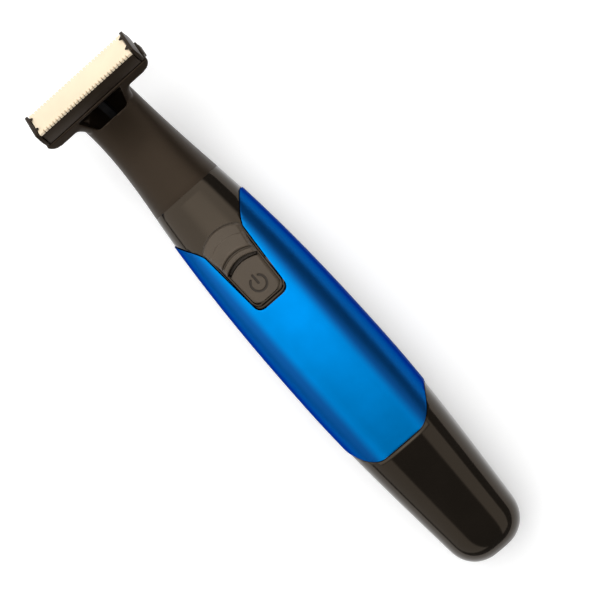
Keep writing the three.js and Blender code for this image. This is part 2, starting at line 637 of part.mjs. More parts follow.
// Places a solid drawn in the head frame into the handle's frame.
function fromHead(solid) {
  const geometry = toGeometry(solid);
  geometry.rotateX(HEAD_TILT);
  geometry.translate(0, PLATE_Y, PLATE_Z);
  return toSolid(geometry);
}

// The T of the head frame: a bar with rounded lower corners that runs into the neck through two fillets.
function headFrame() {
  const half = HEAD_HALF_WIDTH;
  const low = -HEAD_DEPTH;
  const top = low + FRAME_FLOOR;
  const stem = WAIST_HALF_WIDTH;
  const drop = low - HEAD_FILLET - 0.5;
  const slope = Math.sqrt((HEAD_CORNER ** 2) - ((HEAD_CORNER - FRAME_FLOOR) ** 2));
  const back = -HEAD_HALF_HEIGHT - GAP - LUG_THICKNESS;
  const shape = new THREE.Shape();
  shape.moveTo(-stem, drop);
  shape.lineTo(stem, drop);
  shape.lineTo(stem, low - HEAD_FILLET);
  shape.quadraticCurveTo(stem, low, stem + HEAD_FILLET, low);
  shape.lineTo(half - HEAD_CORNER, low);
  shape.quadraticCurveTo(half - HEAD_CORNER + (slope * 0.7), low, half - HEAD_CORNER + slope, top);
  shape.lineTo(HEAD_CORNER - half - slope, top);
  shape.quadraticCurveTo(HEAD_CORNER - half - (slope * 0.7), low, HEAD_CORNER - half, low);
  shape.lineTo(-stem - HEAD_FILLET, low);
  shape.quadraticCurveTo(-stem, low, -stem, low - HEAD_FILLET);
  shape.lineTo(-stem, drop);
  const lug = (side) => {
    const outer = side * LUG_HALF_SPAN;
    const inner = side * (LUG_HALF_SPAN - LUG_WIDTH);
    return box(
      Math.min(outer, inner), Math.max(outer, inner), low + 1, top + LUG_REACH, back, back + LUG_THICKNESS,
    );
  };
  const bridge = box(-LUG_HALF_SPAN, LUG_HALF_SPAN, low + 1, top, back, -HEAD_HALF_HEIGHT + 1);
  const ears = box(-half - EAR_REACH, half + EAR_REACH, top - EAR_LENGTH, top, EAR_BACK, EAR_FRONT);
  return join(prism(shape, -HEAD_HALF_HEIGHT, HEAD_HALF_HEIGHT), bridge, ears, lug(-1), lug(1));
}

function pivotPinHole(extra) {
  const room = neckHalfRoom();
  return bar('z', PIN_RADIUS + extra, (2 * (room + PIN_BITE + extra)), 0, LEVER_PIVOT_Y,
    pivotZ() - room - PIN_BITE - extra);
}

// The lever's pivot crosses the neck on the neck's own centre line.
function pivotSample() {
  const curve = neckCurve();
  const samples = Array.from({ length: 200 }, (_, i) => curve.getPointAt(i / 199));
  return samples.findIndex((point) => point.y >= LEVER_PIVOT_Y);
}

function pivotZ() {
  return neckCurve().getPointAt(pivotSample() / 199).z;
}

function neckHalfRoom() {
  const t = pivotSample() / 199;
  const depth = THREE.MathUtils.lerp(NECK_HALF_DEPTH, NECK_MID_HALF_DEPTH, Math.min(1, t / 0.45));
  return depth - NECK_WALL - 0.3;
}

function neckShell() {
  const body = join(neckForm(0), fromHead(headFrame()),
    plug(PLUG_HALF_WIDTH, PLUG_HALF_DEPTH, PLUG_START_Y, CASE_LENGTH + 1));
  const plugRoom = plug(
    PLUG_HALF_WIDTH - PLUG_WALL, PLUG_HALF_DEPTH - PLUG_WALL, PLUG_START_Y - 1, CASE_LENGTH + 2,
  );
  const headRoom = fromHead(box(-4.5, 4.5, -HEAD_DEPTH - 2, 0, -2.1, 2.1));
  const groove = cut(plug(PLUG_HALF_WIDTH + 1, PLUG_HALF_DEPTH + 1, sealY() - GAP, sealY() + SEAL_SIZE + GAP),
    plug(PLUG_HALF_WIDTH - SEAL_SIZE + GAP, PLUG_HALF_DEPTH - SEAL_SIZE + GAP, 0, CASE_LENGTH + 9));
  return cut(body, neckForm(NECK_WALL), plugRoom, headRoom, groove, hairWindow(), pivotPinHole(GAP));
}

const sealY = () => CASE_LENGTH - COLLAR_LENGTH + 0.8;

function hairWindow() {
  const shape = new THREE.Shape();
  shape.moveTo(-WINDOW_BOTTOM_HALF, WINDOW_BOTTOM_Y);
  shape.lineTo(WINDOW_BOTTOM_HALF, WINDOW_BOTTOM_Y);
  shape.lineTo(WINDOW_TOP_HALF, WINDOW_TOP_Y);
  shape.lineTo(-WINDOW_TOP_HALF, WINDOW_TOP_Y);
  shape.closePath();
  return prism(shape, NECK_END.z - 1.5, NECK_END.z + 12);
}

function neckSeal() {
  const inset = SEAL_SIZE - (2 * GAP);
  return cut(plug(PLUG_HALF_WIDTH + 0.15, PLUG_HALF_DEPTH + 0.15, sealY(), sealY() + SEAL_SIZE),
    plug(PLUG_HALF_WIDTH - inset, PLUG_HALF_DEPTH - inset, sealY() - 1, sealY() + SEAL_SIZE + 1));
}

// ---------------------------------------------------------------- drive lever

// The rocking lever: a fork round the eccentric, a hub on the pivot pin and a tip in the blade carrier.
function driveLever() {
  const pivotHeight = pivotZ();
  const stemFrom = new THREE.Vector3(0, FORK_BRIDGE_Y + 0.5, NECK_Z);
  const path = new THREE.CurvePath();
  const curve = neckCurve();
  path.add(new THREE.LineCurve3(stemFrom, curve.v0));
  path.add(curve);
  const section = new THREE.Shape([[-1.6, -0.9], [1.6, -0.9], [1.6, 0.9], [-1.6, 0.9]]
    .map(([x, y]) => new THREE.Vector2(x, y)));
  const sweep = { steps: 16, bevelEnabled: false, extrudePath: path };
  const stem = toSolid(new THREE.ExtrudeGeometry(section, sweep));
  const slotHalf = ECCENTRIC_PIN_RADIUS + (2 * ECCENTRIC_THROW) + RUNNING + 0.25;
  const outer = slotHalf + 1.1;
  const low = DRIVE_AXIS_Z - 1.3;
  const high = DRIVE_AXIS_Z + 1.3;
  const prongs = cut(box(-outer, outer, FORK_START_Y, FORK_BRIDGE_Y + 1.6, low, high),
    box(-slotHalf, slotHalf, FORK_START_Y - 1, FORK_BRIDGE_Y, low - 1, high + 1));
  const riser = box(-1.6, 1.6, FORK_BRIDGE_Y, FORK_BRIDGE_Y + 1.6, low, NECK_Z + 0.9);
  const hub = bar('z', PIN_RADIUS + 1.5, 2.4, 0, LEVER_PIVOT_Y, pivotHeight - 1.2, 24);
  const hole = bar('z', PIN_RADIUS + RUNNING, 8, 0, LEVER_PIVOT_Y, pivotHeight - 4, 20);
  const tip = fromHead(bar('y', TIP_RADIUS, HEAD_DEPTH - 2.6, 0, -HEAD_DEPTH + 0.2, 0, 16));
  return cut(join(stem, prongs, riser, hub, tip), hole);
}

// ---------------------------------------------------------------- cutting unit, in the head frame

// A comb outline with slots along both long edges.
function combOutline(halfLength, halfHeight, pitch, slot, depth) {
  const count = Math.floor(((2 * halfLength) - slot) / pitch) - 1;
  const first = -((count - 1) * pitch) / 2;
  const centres = Array.from({ length: count }, (_, i) => first + (i * pitch));
  const shape = new THREE.Shape();
  shape.moveTo(-halfLength, -halfHeight);
  centres.forEach((x) => {
    shape.lineTo(x - (slot / 2), -halfHeight);
    shape.lineTo(x - (slot / 2), -halfHeight + depth);
    shape.lineTo(x + (slot / 2), -halfHeight + depth);
    shape.lineTo(x + (slot / 2), -halfHeight);
  });
  shape.lineTo(halfLength, -halfHeight);
  shape.lineTo(halfLength, halfHeight);
  centres.reverse().forEach((x) => {
    shape.lineTo(x + (slot / 2), halfHeight);
    shape.lineTo(x + (slot / 2), halfHeight - depth);
    shape.lineTo(x - (slot / 2), halfHeight - depth);
    shape.lineTo(x - (slot / 2), halfHeight);
  });
  shape.lineTo(-halfLength, halfHeight);
  return shape;
}

// A comb lies in X and Z of the head frame, between two heights along Y.
function comb(shape, bottom, top) {
  const geometry = new THREE.ExtrudeGeometry(shape, { depth: top - bottom, bevelEnabled: false });
  geometry.rotateX(-Math.PI / 2);
  geometry.translate(0, bottom, 0);
  return toSolid(geometry);
}

function combPlate() {
  return comb(combOutline(PLATE_HALF_LENGTH, HEAD_HALF_HEIGHT, TOOTH_PITCH, TOOTH_SLOT, TOOTH_DEPTH),
    -PLATE_THICKNESS, 0);
}

function movingBlade() {
  const outline = combOutline(PLATE_HALF_LENGTH - BLADE_STROKE - 1, BLADE_HALF_HEIGHT, BLADE_TOOTH_PITCH,
    BLADE_TOOTH_SLOT, BLADE_TOOTH_DEPTH);
  return comb(outline, BLADE_TOP - BLADE_THICKNESS, BLADE_TOP);
}

function bladeHousing() {
  const half = PLATE_HALF_LENGTH - 0.1;
  const body = box(-half, half, HOUSING_BOTTOM, HOUSING_TOP, -HOUSING_HALF_HEIGHT, HOUSING_HALF_HEIGHT);
  const inner = HOUSING_HALF_HEIGHT - HOUSING_WALL;
  const bladeRoom = box(-half + 0.6, half - 0.6, HOUSING_BOTTOM + 0.8, 1, -inner, inner);
  const slotHalf = CARRIER_BLOCK_HALF + BLADE_STROKE;
  const tipSlot = box(-slotHalf, slotHalf, HOUSING_BOTTOM - 1, 1, -1.9, 1.9);
  return cut(body, bladeRoom, tipSlot);
}

function bladeCarrier() {
  const top = BLADE_TOP - BLADE_THICKNESS - 0.1;
  const bottom = HOUSING_BOTTOM + 0.5;
  const block = box(-CARRIER_BLOCK_HALF, CARRIER_BLOCK_HALF, bottom, top, -1.55, 1.55);
  const slot = box(-TIP_RADIUS - RUNNING, TIP_RADIUS + RUNNING, bottom - 1, top - 0.5, -2, 2);
  return cut(block, slot);
}

// A leaf that presses the moving blade against the comb plate; side is -1 or 1.
function bladeSpring(side) {
  const near = CARRIER_BLOCK_HALF + BLADE_STROKE + 1.2;
  const far = PLATE_HALF_LENGTH - 2;
  const low = HOUSING_BOTTOM + 0.8 + 0.1;
  const high = BLADE_TOP - BLADE_THICKNESS - 0.15;
  const rise = high - low - 0.25;
  const shape = new THREE.Shape();
  shape.moveTo(near, low);
  shape.quadraticCurveTo((near + far) / 2, low + (2 * rise), far, low);
  shape.lineTo(far, low + 0.25);
  shape.quadraticCurveTo((near + far) / 2, low + 0.25 + (2 * rise), near, low + 0.25);
  shape.closePath();
  const leaf = prism(shape, -1.2, 1.2, 8);
  return side > 0 ? leaf : leaf.mirror([1, 0, 0]);
}

// An end guard with two small teeth that reach in over the comb plate; side is -1 or 1.
function endGuard(side) {
  const inner = PLATE_HALF_LENGTH + 0.2;
  const outer = inner + GUARD_WIDTH;
  const foot = HOUSING_BOTTOM + GAP;
  const profile = new THREE.Shape();
  profile.moveTo(inner, foot);
  profile.lineTo(outer - GUARD_TAPER, foot);
  profile.lineTo(outer, foot + GUARD_TAPER_LENGTH);
  profile.lineTo(outer, GUARD_PROUD);
  profile.lineTo(inner, GUARD_PROUD);
  profile.closePath();
  const body = prism(profile, -HEAD_HALF_HEIGHT, HEAD_HALF_HEIGHT);
  const teeth = [-1, 1].map((end) => {
    const shape = new THREE.Shape();
    const middle = end * HEAD_HALF_HEIGHT * 0.52;
    shape.moveTo(inner + 0.3, middle - 0.8);
    shape.lineTo(inner - GUARD_TOOTH, middle);
    shape.lineTo(inner + 0.3, middle + 0.8);
    shape.closePath();
    return comb(shape, GUARD_PROUD - 0.3, GUARD_PROUD);
  });
  const guard = join(body, ...teeth);
  return side > 0 ? guard : guard.mirror([1, 0, 0]);
}

// ---------------------------------------------------------------- assembly

const GLOSS_BLACK = { color: 0x1b1a19, roughness: 0.18, metalness: 0 };
const SATIN_BLACK = { color: 0x33302c, roughness: 0.45, metalness: 0 };
const DARK_GREY = { color: 0x5a544c, roughness: 0.4, metalness: 0 };
const METALLIC_BLUE = { color: 0x0a7ad0, roughness: 0.28, metalness: 0.6 };
const CREAM = { color: 0xf2e3c6, roughness: 0.45, metalness: 0.1 };
const STEEL = { color: 0xb9bcc0, roughness: 0.3, metalness: 1 };
const NICKEL = { color: 0xc8c2b0, roughness: 0.35, metalness: 1 };
const BOARD_GREEN = { color: 0x14562f, roughness: 0.5, metalness: 0 };
const CELL_WRAP = { color: 0x2f6f4a, roughness: 0.4, metalness: 0 };
const WHITE_PLASTIC = { color: 0xe6e4de, roughness: 0.5, metalness: 0 };
const BLACK_ACETAL = { color: 0x26231f, roughness: 0.5, metalness: 0 };
const RUBBER = { color: 0x222222, roughness: 0.9, metalness: 0 };

function piece(name, solid, look) {
  const mesh = new THREE.Mesh(toGeometry(solid), new THREE.MeshStandardMaterial(look));
  mesh.name = name;
  return mesh;
}

const handle = new THREE.Group();
handle.add(
  piece('rear_shell', rearShell(), GLOSS_BLACK),
  piece('front_shell', frontShell(), GLOSS_BLACK),
  piece('grip_cover', gripCover(), METALLIC_BLUE),
  piece('switch_bezel', switchBezel(), GLOSS_BLACK),
  piece('circuit_board', circuitBoard(), BOARD_GREEN),
  piece('slide_switch', slideSwitch(), STEEL),
  piece('board_screw_lower', boardScrew(POST_YS[0]), STEEL),
  piece('board_screw_upper', boardScrew(POST_YS[1]), STEEL),
  piece('battery_cell', batteryCell(), CELL_WRAP),
  piece('battery_tab_negative', batteryTab(CELL_START_Y, -1), NICKEL),
  piece('battery_tab_positive', batteryTab(CELL_END_Y, 1), NICKEL),
  piece('charge_socket', chargeSocket(), STEEL),
  piece('motor_can', motorCan(), STEEL),
  piece('motor_bracket', motorBracket(), WHITE_PLASTIC),
);

const slider = new THREE.Group();
slider.add(
  piece('power_slider', powerSlider(), DARK_GREY),
  piece('slider_carrier', sliderCarrier(), WHITE_PLASTIC),
  piece('switch_nub', switchNub(), WHITE_PLASTIC),
);

const rotor = new THREE.Group();
rotor.add(
  piece('motor_shaft', motorShaft(), STEEL),
  piece('eccentric_cam', eccentricCam(), WHITE_PLASTIC),
);

const neck = new THREE.Group();
neck.add(
  piece('neck_shell', neckShell(), SATIN_BLACK),
  piece('neck_seal', neckSeal(), RUBBER),
  piece('lever_pivot_pin', pivotPinHole(0), STEEL),
  piece('drive_lever', driveLever(), BLACK_ACETAL),
);

const head = new THREE.Group();
head.rotation.x = HEAD_TILT;
head.position.set(0, PLATE_Y, PLATE_Z);
head.add(
  piece('blade_housing', bladeHousing(), SATIN_BLACK),
  piece('comb_plate', combPlate(), CREAM),
  piece('end_guard_left', endGuard(-1), SATIN_BLACK),
  piece('end_guard_right', endGuard(1), SATIN_BLACK),
  piece('blade_spring_left', bladeSpring(-1), STEEL),
  piece('blade_spring_right', bladeSpring(1), STEEL),
  piece('moving_blade', movingBlade(), STEEL),
  piece('blade_carrier', bladeCarrier(), WHITE_PLASTIC),
);

const group = new THREE.Group();
group.add(handle, slider, rotor, neck, head);
group.position.set(0, -OVERALL_LENGTH / 2, REST_DEPTH);

export default group;
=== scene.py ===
import math

import bmesh
import bpy
from bpy.props import FloatProperty, FloatVectorProperty, IntProperty, PointerProperty
from mathutils import Matrix, Vector


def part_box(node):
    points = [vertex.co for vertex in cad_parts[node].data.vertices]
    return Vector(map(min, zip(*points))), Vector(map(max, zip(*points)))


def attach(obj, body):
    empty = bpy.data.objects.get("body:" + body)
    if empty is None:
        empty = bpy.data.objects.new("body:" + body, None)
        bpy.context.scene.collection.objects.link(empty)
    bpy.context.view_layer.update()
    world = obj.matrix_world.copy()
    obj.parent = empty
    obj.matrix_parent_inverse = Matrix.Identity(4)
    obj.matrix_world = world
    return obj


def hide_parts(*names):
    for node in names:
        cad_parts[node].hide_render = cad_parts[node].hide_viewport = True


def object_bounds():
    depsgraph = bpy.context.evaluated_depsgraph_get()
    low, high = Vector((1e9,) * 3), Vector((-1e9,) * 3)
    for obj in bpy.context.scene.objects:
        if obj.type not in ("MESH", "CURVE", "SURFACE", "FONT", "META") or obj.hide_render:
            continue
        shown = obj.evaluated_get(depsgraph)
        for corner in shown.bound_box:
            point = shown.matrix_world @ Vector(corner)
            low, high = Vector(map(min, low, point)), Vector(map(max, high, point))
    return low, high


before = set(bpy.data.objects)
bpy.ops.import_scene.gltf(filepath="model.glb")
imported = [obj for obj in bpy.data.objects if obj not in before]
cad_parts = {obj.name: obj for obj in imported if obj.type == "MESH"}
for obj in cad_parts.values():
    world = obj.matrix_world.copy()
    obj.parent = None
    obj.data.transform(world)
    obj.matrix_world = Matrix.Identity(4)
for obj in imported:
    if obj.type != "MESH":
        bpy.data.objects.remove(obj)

bl_info = {
    "name": "Body Groomer",
    "version": (1, 0, 0),
    "blender": (4, 5, 0),
    "location": "View3D > Sidebar > Groomer",
    "description": "Builds the outside of a cordless body groomer round its working parts",
    "category": "Add Mesh",
}

MM = 0.001
CAD_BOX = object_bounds()
HANDLE_END = CAD_BOX[0][1]  # the flat end of the handle, along Y
MID_Z = 11.5 * MM  # the handle's middle plane above the floor
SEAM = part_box("front_shell")[1][1] - HANDLE_END  # seam between handle and neck, from the handle's end
PARTING_Z = -3 * MM  # where the two shells meet, from the middle plane
PARTING = 0.1 * MM  # half of the gap where two mouldings meet
GAP = 0.3 * MM  # round a piece in its recess
RECESS_DEPTH = 1.2 * MM  # of the cover's recess, below the handle's surface
COVER_DEPTH = 0.9 * MM  # of the cover's inner face


# ---------------------------------------------------------------- choosing and shaping


def select_only(piece):
    if bpy.context.object and bpy.context.object.mode != "OBJECT":
        bpy.ops.object.mode_set(mode="OBJECT")
    bpy.ops.object.select_all(action="DESELECT")
    piece.select_set(True)
    bpy.context.view_layer.objects.active = piece


def edit_all(piece):
    """Opens the piece with everything in it selected."""
    select_only(piece)
    bpy.ops.object.mode_set(mode="EDIT")
    bpy.ops.mesh.select_all(action="SELECT")


def close_edit():
    bpy.ops.object.mode_set(mode="OBJECT")


def outward(piece):
    edit_all(piece)
    bpy.ops.mesh.normals_make_consistent(inside=False)
    close_edit()


def settle(piece):
    """Puts the piece's place, turn and size into its mesh."""
    select_only(piece)
    bpy.ops.object.transform_apply(location=True, rotation=True, scale=True)


def apply_modifier(piece, kind, **settings):
    select_only(piece)
    modifier = piece.modifiers.new(kind.lower(), kind)
    for name, value in settings.items():
        setattr(modifier, name, value)
    bpy.ops.object.modifier_apply(modifier=modifier.name)


def combine(piece, operation, *tools):
    """Joins, cuts or meets the piece with tools that are used up."""
    for tool in tools:
        apply_modifier(piece, "BOOLEAN", operation=operation, object=tool, solver="EXACT")
        bpy.data.objects.remove(tool, do_unlink=True)
    return piece


def soften(piece, width, segments=2, angle=35.0):
    """Breaks the sharp edges, as moulded edges are, and shades the rest smooth."""
    edit_all(piece)
    bpy.ops.mesh.remove_doubles(threshold=width * 0.2)
    bpy.ops.mesh.dissolve_degenerate(threshold=width * 0.1)
    close_edit()
    apply_modifier(piece, "BEVEL", width=width, segments=segments, limit_method="ANGLE",
                   angle_limit=math.radians(angle), harden_normals=False, use_clamp_overlap=True)
    select_only(piece)
    bpy.ops.object.shade_smooth_by_angle(angle=math.radians(angle))


def place_points(piece, place):
    for vertex in piece.data.vertices:
        vertex.co = place(vertex.co)
    piece.data.update()


def block(name, low, high):
    """A box between two corners."""
    low, high = Vector(low), Vector(high)
    bpy.ops.object.select_all(action="DESELECT")
    bpy.ops.mesh.primitive_cube_add(size=1, location=(low + high) / 2, scale=high - low)
    piece = bpy.context.object
    piece.name = name
    settle(piece)
    return piece


def prism(name, outline, low, high):
    """An outline in X and Y, stood up along Z."""
    bpy.ops.object.select_all(action="DESELECT")
    bpy.ops.mesh.primitive_circle_add(vertices=len(outline), radius=1, fill_type="NGON")
    piece = bpy.context.object
    piece.name = name
    for vertex, (x, y) in zip(piece.data.vertices, outline):
        vertex.co = (x, y, low)
    edit_all(piece)
    bpy.ops.mesh.extrude_region_move(TRANSFORM_OT_translate={"value": (0, 0, high - low)})
    close_edit()
    outward(piece)
    return piece


def loft(name, steps, sides, place):
    """A closed form through rings. place(ring, across, up) gives a point; across and up run from -1 to 1."""
    bpy.ops.object.select_all(action="DESELECT")
    bpy.ops.mesh.primitive_circle_add(vertices=sides, radius=1, fill_type="NGON")
    piece = bpy.context.object
    piece.name = name
    edit_all(piece)
    for _ in range(steps):
        bpy.ops.mesh.extrude_region_move(TRANSFORM_OT_translate={"value": (0, 0, 1)})
    close_edit()
    place_points(piece, lambda point: place(round(point.z), point.x, point.y))
    outward(piece)
    return piece


def finish_piece(piece, body, slot, material, *nodes):
    piece.data.materials.clear()
    piece.data.materials.append(material)
    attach(piece, body)
    if nodes:
        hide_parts(*nodes)


# ---------------------------------------------------------------- curves of the form


def smooth_curve(*places):
    """A smooth curve through (where, value, slope) places."""

    def value(at):
        index = max([i for i, place in enumerate(places[:-1]) if place[0] <= at], default=0)
        (start, first, leave), (end, last, arrive) = places[index], places[index + 1]
        span = end - start
        t = min(1.0, max(0.0, (at - start) / span))
        blend = t * t * (3 - 2 * t)
        return (first * (1 - blend) + last * blend + t * (1 - t) ** 2 * span * leave
                + t * t * (t - 1) * span * arrive)

    return value


def signed_power(value, power):
    return math.copysign(abs(value) ** power, value)


def mix(a, b, t):
    return a + (b - a) * t


def smoothstep(low, high, value):
    t = min(1.0, max(0.0, (value - low) / (high - low)))
    return t * t * (3 - 2 * t)


def bezier(start, leave, arrive, end, steps):
    """Points of a cubic curve, without its end."""
    points = []
    for i in range(steps):
        t = i / steps
        weights = ((1 - t) ** 3, 3 * t * (1 - t) ** 2, 3 * t * t * (1 - t), t ** 3)
        handles = (start, leave, arrive, end)
        points.append(tuple(sum(w * p[k] for w, p in zip(weights, handles)) for k in (0, 1)))
    return points


def corner(start, tip, end, steps=6):
    """A rounded corner from start to end, pulled toward tip, without its end."""
    leave = [mix(a, b, 2 / 3) for a, b in zip(start, tip)]
    arrive = [mix(a, b, 2 / 3) for a, b in zip(end, tip)]
    return bezier(start, leave, arrive, end, steps)


def mirrored(points):
    """The outline's right half and its left half, in order round the outline."""
    return points + [(-x, y) for x, y in reversed(points) if abs(x) > 1e-9]


# ---------------------------------------------------------------- what a user would change


class HandleSizes(bpy.types.PropertyGroup):
    belly_half_width: FloatProperty(
        name="Belly half width", description="Half of the handle's widest place", default=13.2 * MM,
        unit="LENGTH")
    belly_y: FloatProperty(
        name="Belly place", description="Where the handle is widest, from its end",
        default=58 * MM, unit="LENGTH")
    end_half_width: FloatProperty(
        name="End half width", description="Half width that the end is rounded from", default=9.8 * MM,
        unit="LENGTH")
    seam_half_width: FloatProperty(
        name="Seam half width", description="Half width at the neck's seam", default=10 * MM, unit="LENGTH")
    end_rounding: FloatProperty(
        name="End rounding", description="Length over which the end is rounded",
        default=8 * MM, unit="LENGTH")
    wall: FloatProperty(name="Wall", description="Wall of the two shells", default=2.2 * MM, unit="LENGTH")
    cover_proud: FloatProperty(
        name="Cover stands proud", description="How far the grip cover stands out of the shell",
        default=0.25 * MM, unit="LENGTH")
    sides: IntProperty(name="Sides", description="Faces round the handle", default=96, min=24)
    rings: IntProperty(name="Rings", description="Faces along the handle", default=64, min=16)


class SliderSizes(bpy.types.PropertyGroup):
    hump_half_width: FloatProperty(
        name="Hump half width", description="Half width of the thumb hump at its upper end",
        default=5.9 * MM, unit="LENGTH")
    pad_half_width: FloatProperty(
        name="Pad half width", description="Half width of the pad at its lower end", default=4.2 * MM,
        unit="LENGTH")
    symbol_radius: FloatProperty(
        name="Symbol radius", description="Radius of the power symbol's ring",
        default=2.05 * MM, unit="LENGTH")
    symbol_depth: FloatProperty(
        name="Symbol depth", description="How deep the power symbol is sunk",
        default=0.16 * MM, unit="LENGTH")


class HeadSizes(bpy.types.PropertyGroup):
    tooth_pitch: FloatProperty(
        name="Tooth pitch", description="Distance between comb teeth", default=1.0 * MM, unit="LENGTH")
    tooth_depth: FloatProperty(
        name="Tooth depth", description="Depth of the slots between comb teeth",
        default=0.65 * MM, unit="LENGTH")
    edge: FloatProperty(
        name="Moulded edge", description="Rounding of moulded edges", default=0.25 * MM, unit="LENGTH")


def colour_property(name, description, value):
    return FloatVectorProperty(name=name, description=description, default=linear(value), subtype="COLOR",
                               size=3, min=0, max=1)


def linear(hex_colour):
    """An sRGB hex value as linear red, green and blue."""
    parts = [((hex_colour >> shift) & 255) / 255 for shift in (16, 8, 0)]
    return tuple(p / 12.92 if p <= 0.04045 else ((p + 0.055) / 1.055) ** 2.4 for p in parts)


class Finishes(bpy.types.PropertyGroup):
    lacquer: colour_property("Cover lacquer", "Metallic blue of the grip cover", 0x007DC9)
    gloss_black: colour_property("Gloss black", "Piano-black shells", 0x100D0A)
    satin_black: colour_property("Satin black", "Neck and head mouldings", 0x1C150E)
    slider_grey: colour_property("Slider grey", "Thumb slider", 0x473E34)
    comb_cream: colour_property("Comb coating", "Coating on the comb plate", 0xF2DFC0)


# ---------------------------------------------------------------- the handle's form

FRONT_FULLNESS = 2.4  # roundness of the sections: 2 is an ellipse, more is squarer
BACK_FULLNESS = 2.6
ROUND_POWER = 2.4


def handle_curves():
    sizes = bpy.context.scene.handle_sizes
    belly = sizes.belly_y
    waist = SEAM + 26 * MM
    width = smooth_curve((0, sizes.end_half_width, 0.07), (belly, sizes.belly_half_width, 0),
                         (SEAM, sizes.seam_half_width, -0.13), (waist, 7.9 * MM, 0))
    front = smooth_curve((0, 8 * MM, 0.07), (belly, 10.5 * MM, 0), (SEAM, 7.8 * MM, -0.06))
    back = smooth_curve((0, 9 * MM, 0.12), (belly, 12.2 * MM, 0), (SEAM, 8.6 * MM, -0.13))
    return width, front, back


def end_shrink(y):
    """How much of its full section the rounded end has at y."""
    rounding = bpy.context.scene.handle_sizes.end_rounding
    flat = 0.6 * MM
    reach = min(1.0, (y + flat) / (rounding + flat))
    return (1 - (1 - reach) ** ROUND_POWER) ** (1 / ROUND_POWER)


def at(x, y, z):
    """A point given in the handle's own frame: from its end along Y, from its middle plane along Z."""
    return Vector((x, HANDLE_END + y, MID_Z + z))


def handle_form(name, inset):
    """The handle's whole form, drawn in by inset, or standing proud where it is negative."""
    sizes = bpy.context.scene.handle_sizes
    width, front, back = handle_curves()
    start = max(0.0, inset)
    round_rings = 14
    round_end = start + sizes.end_rounding

    def ring_y(ring):
        if ring <= round_rings:
            return start + sizes.end_rounding * (1 - math.cos(ring / round_rings * math.pi / 2))
        return round_end + (SEAM - round_end) * (ring - round_rings) / sizes.rings

    def place(ring, across, up):
        y = ring_y(ring)
        shrink = end_shrink(y - start)
        fullness = FRONT_FULLNESS if up > 0 else BACK_FULLNESS
        depth = front(y) if up > 0 else back(y)
        x = signed_power(across, 2 / fullness) * (width(y) - inset) * shrink
        z = signed_power(up, 2 / fullness) * (depth - inset) * shrink
        return at(x, y, max(z, inset - MID_Z))

    return loft(name, round_rings + sizes.rings, sizes.sides, place)


def surface_z(x, y):
    """Height of the handle's front over its middle plane."""
    width, front, _ = handle_curves()
    across = min(0.999, abs(x) / width(y))
    return front(y) * (1 - across ** FRONT_FULLNESS) ** (1 / FRONT_FULLNESS)


def front_outline(points, low=PARTING_Z + PARTING, high=16 * MM):
    """A tool over the handle's front from points in the handle's frame."""
    return prism("outline", [(x, HANDLE_END + y) for x, y in points], MID_Z + low, MID_Z + high)


def cover_outline(extra):
    """The grip cover from the front; extra grows it, for the recess under it."""
    width, _, _ = handle_curves()
    far = 20 * MM
    side_low, side_high = 44.4 * MM, SEAM - 8 * MM
    bottom, low, top = 36.8 * MM - extra, side_low - extra, side_high + extra
    notch_low, notch_high = SEAM - 34 * MM + extra, SEAM - 15.2 * MM
    notch_half, notch_high_half = 5.1 * MM - extra, 6.3 * MM - extra
    edge, belly = width(side_high), width(side_low)
    rounding = 2.6 * MM
    right = [(0, bottom)]
    right += bezier((5.5 * MM, bottom), (belly * 0.7, bottom), (belly * 0.89, low - 3.4 * MM),
                    (belly + 0.2 * MM, low), 20)
    right += [(belly + 0.2 * MM, low), (far, low), (far, top)]
    right += bezier((edge, top), (edge - 1.7 * MM, top - 2.5 * MM),
                    (notch_high_half + 0.6 * MM, notch_high + 2 * MM), (notch_high_half, notch_high), 20)
    right += [(notch_high_half, notch_high)]
    right += corner((notch_half, notch_low + rounding), (notch_half, notch_low),
                    (notch_half - rounding, notch_low), 12)
    right += [(notch_half - rounding, notch_low), (0, notch_low)]
    return mirrored(right)


def pad_outline(extra, top):
    """The slider pad from the front, grown by extra, up to top."""
    sizes = bpy.context.scene.slider_sizes
    low = PAD_LOW - extra
    rounding = PAD_ROUNDING + extra
    half = sizes.pad_half_width + extra
    right = [(0, low)] + corner((half - rounding, low), (half, low), (half, low + rounding), 10)
    right += [(half, low + rounding), (half + PAD_FLARE, top), (0, top)]
    return mirrored(right)


PAD_LOW = SEAM - 32.2 * MM
HUMP_LOW = PAD_LOW + 11.6 * MM
HUMP_HIGH = HUMP_LOW + 9.3 * MM
SLIDE_TRAVEL = 4.5 * MM
PAD_ROUNDING = 1.8 * MM
PAD_FLARE = 0.55 * MM  # how much wider the pad is at its upper end, on each side
HUMP_LOW_HALF = 5 * MM
CREASE = HUMP_LOW + 1.75 * MM  # the line across the hump
BEZEL_GAP = 0.25 * MM
BEZEL_WIDTH = 0.35 * MM
POCKET_TOP = HUMP_LOW + SLIDE_TRAVEL + 1.45 * MM


def shell_tools():
    """What both shells are hollowed by: their inside, the neck's hole and the charging socket's."""
    wall = bpy.context.scene.handle_sizes.wall
    inner = handle_form("inner", wall)
    far = 30 * MM
    collar = block("collar", at(-far, SEAM - 3 * MM, -far), at(far, SEAM + far, far))
    combine(inner, "DIFFERENCE", collar)
    hole = loft("neck_hole", 1, 64, lambda ring, across, up: at(
        signed_power(across, 2 / FRONT_FULLNESS) * 7.9 * MM, (SEAM - 7.3 * MM, SEAM + MM)[ring],
        -0.4 * MM + signed_power(up, 2 / FRONT_FULLNESS) * 6.8 * MM))
    socket = block("socket_hole", at(-4 * MM, -MM, -1.2 * MM), at(4 * MM, 10 * MM, 2.2 * MM))
    return inner, hole, socket


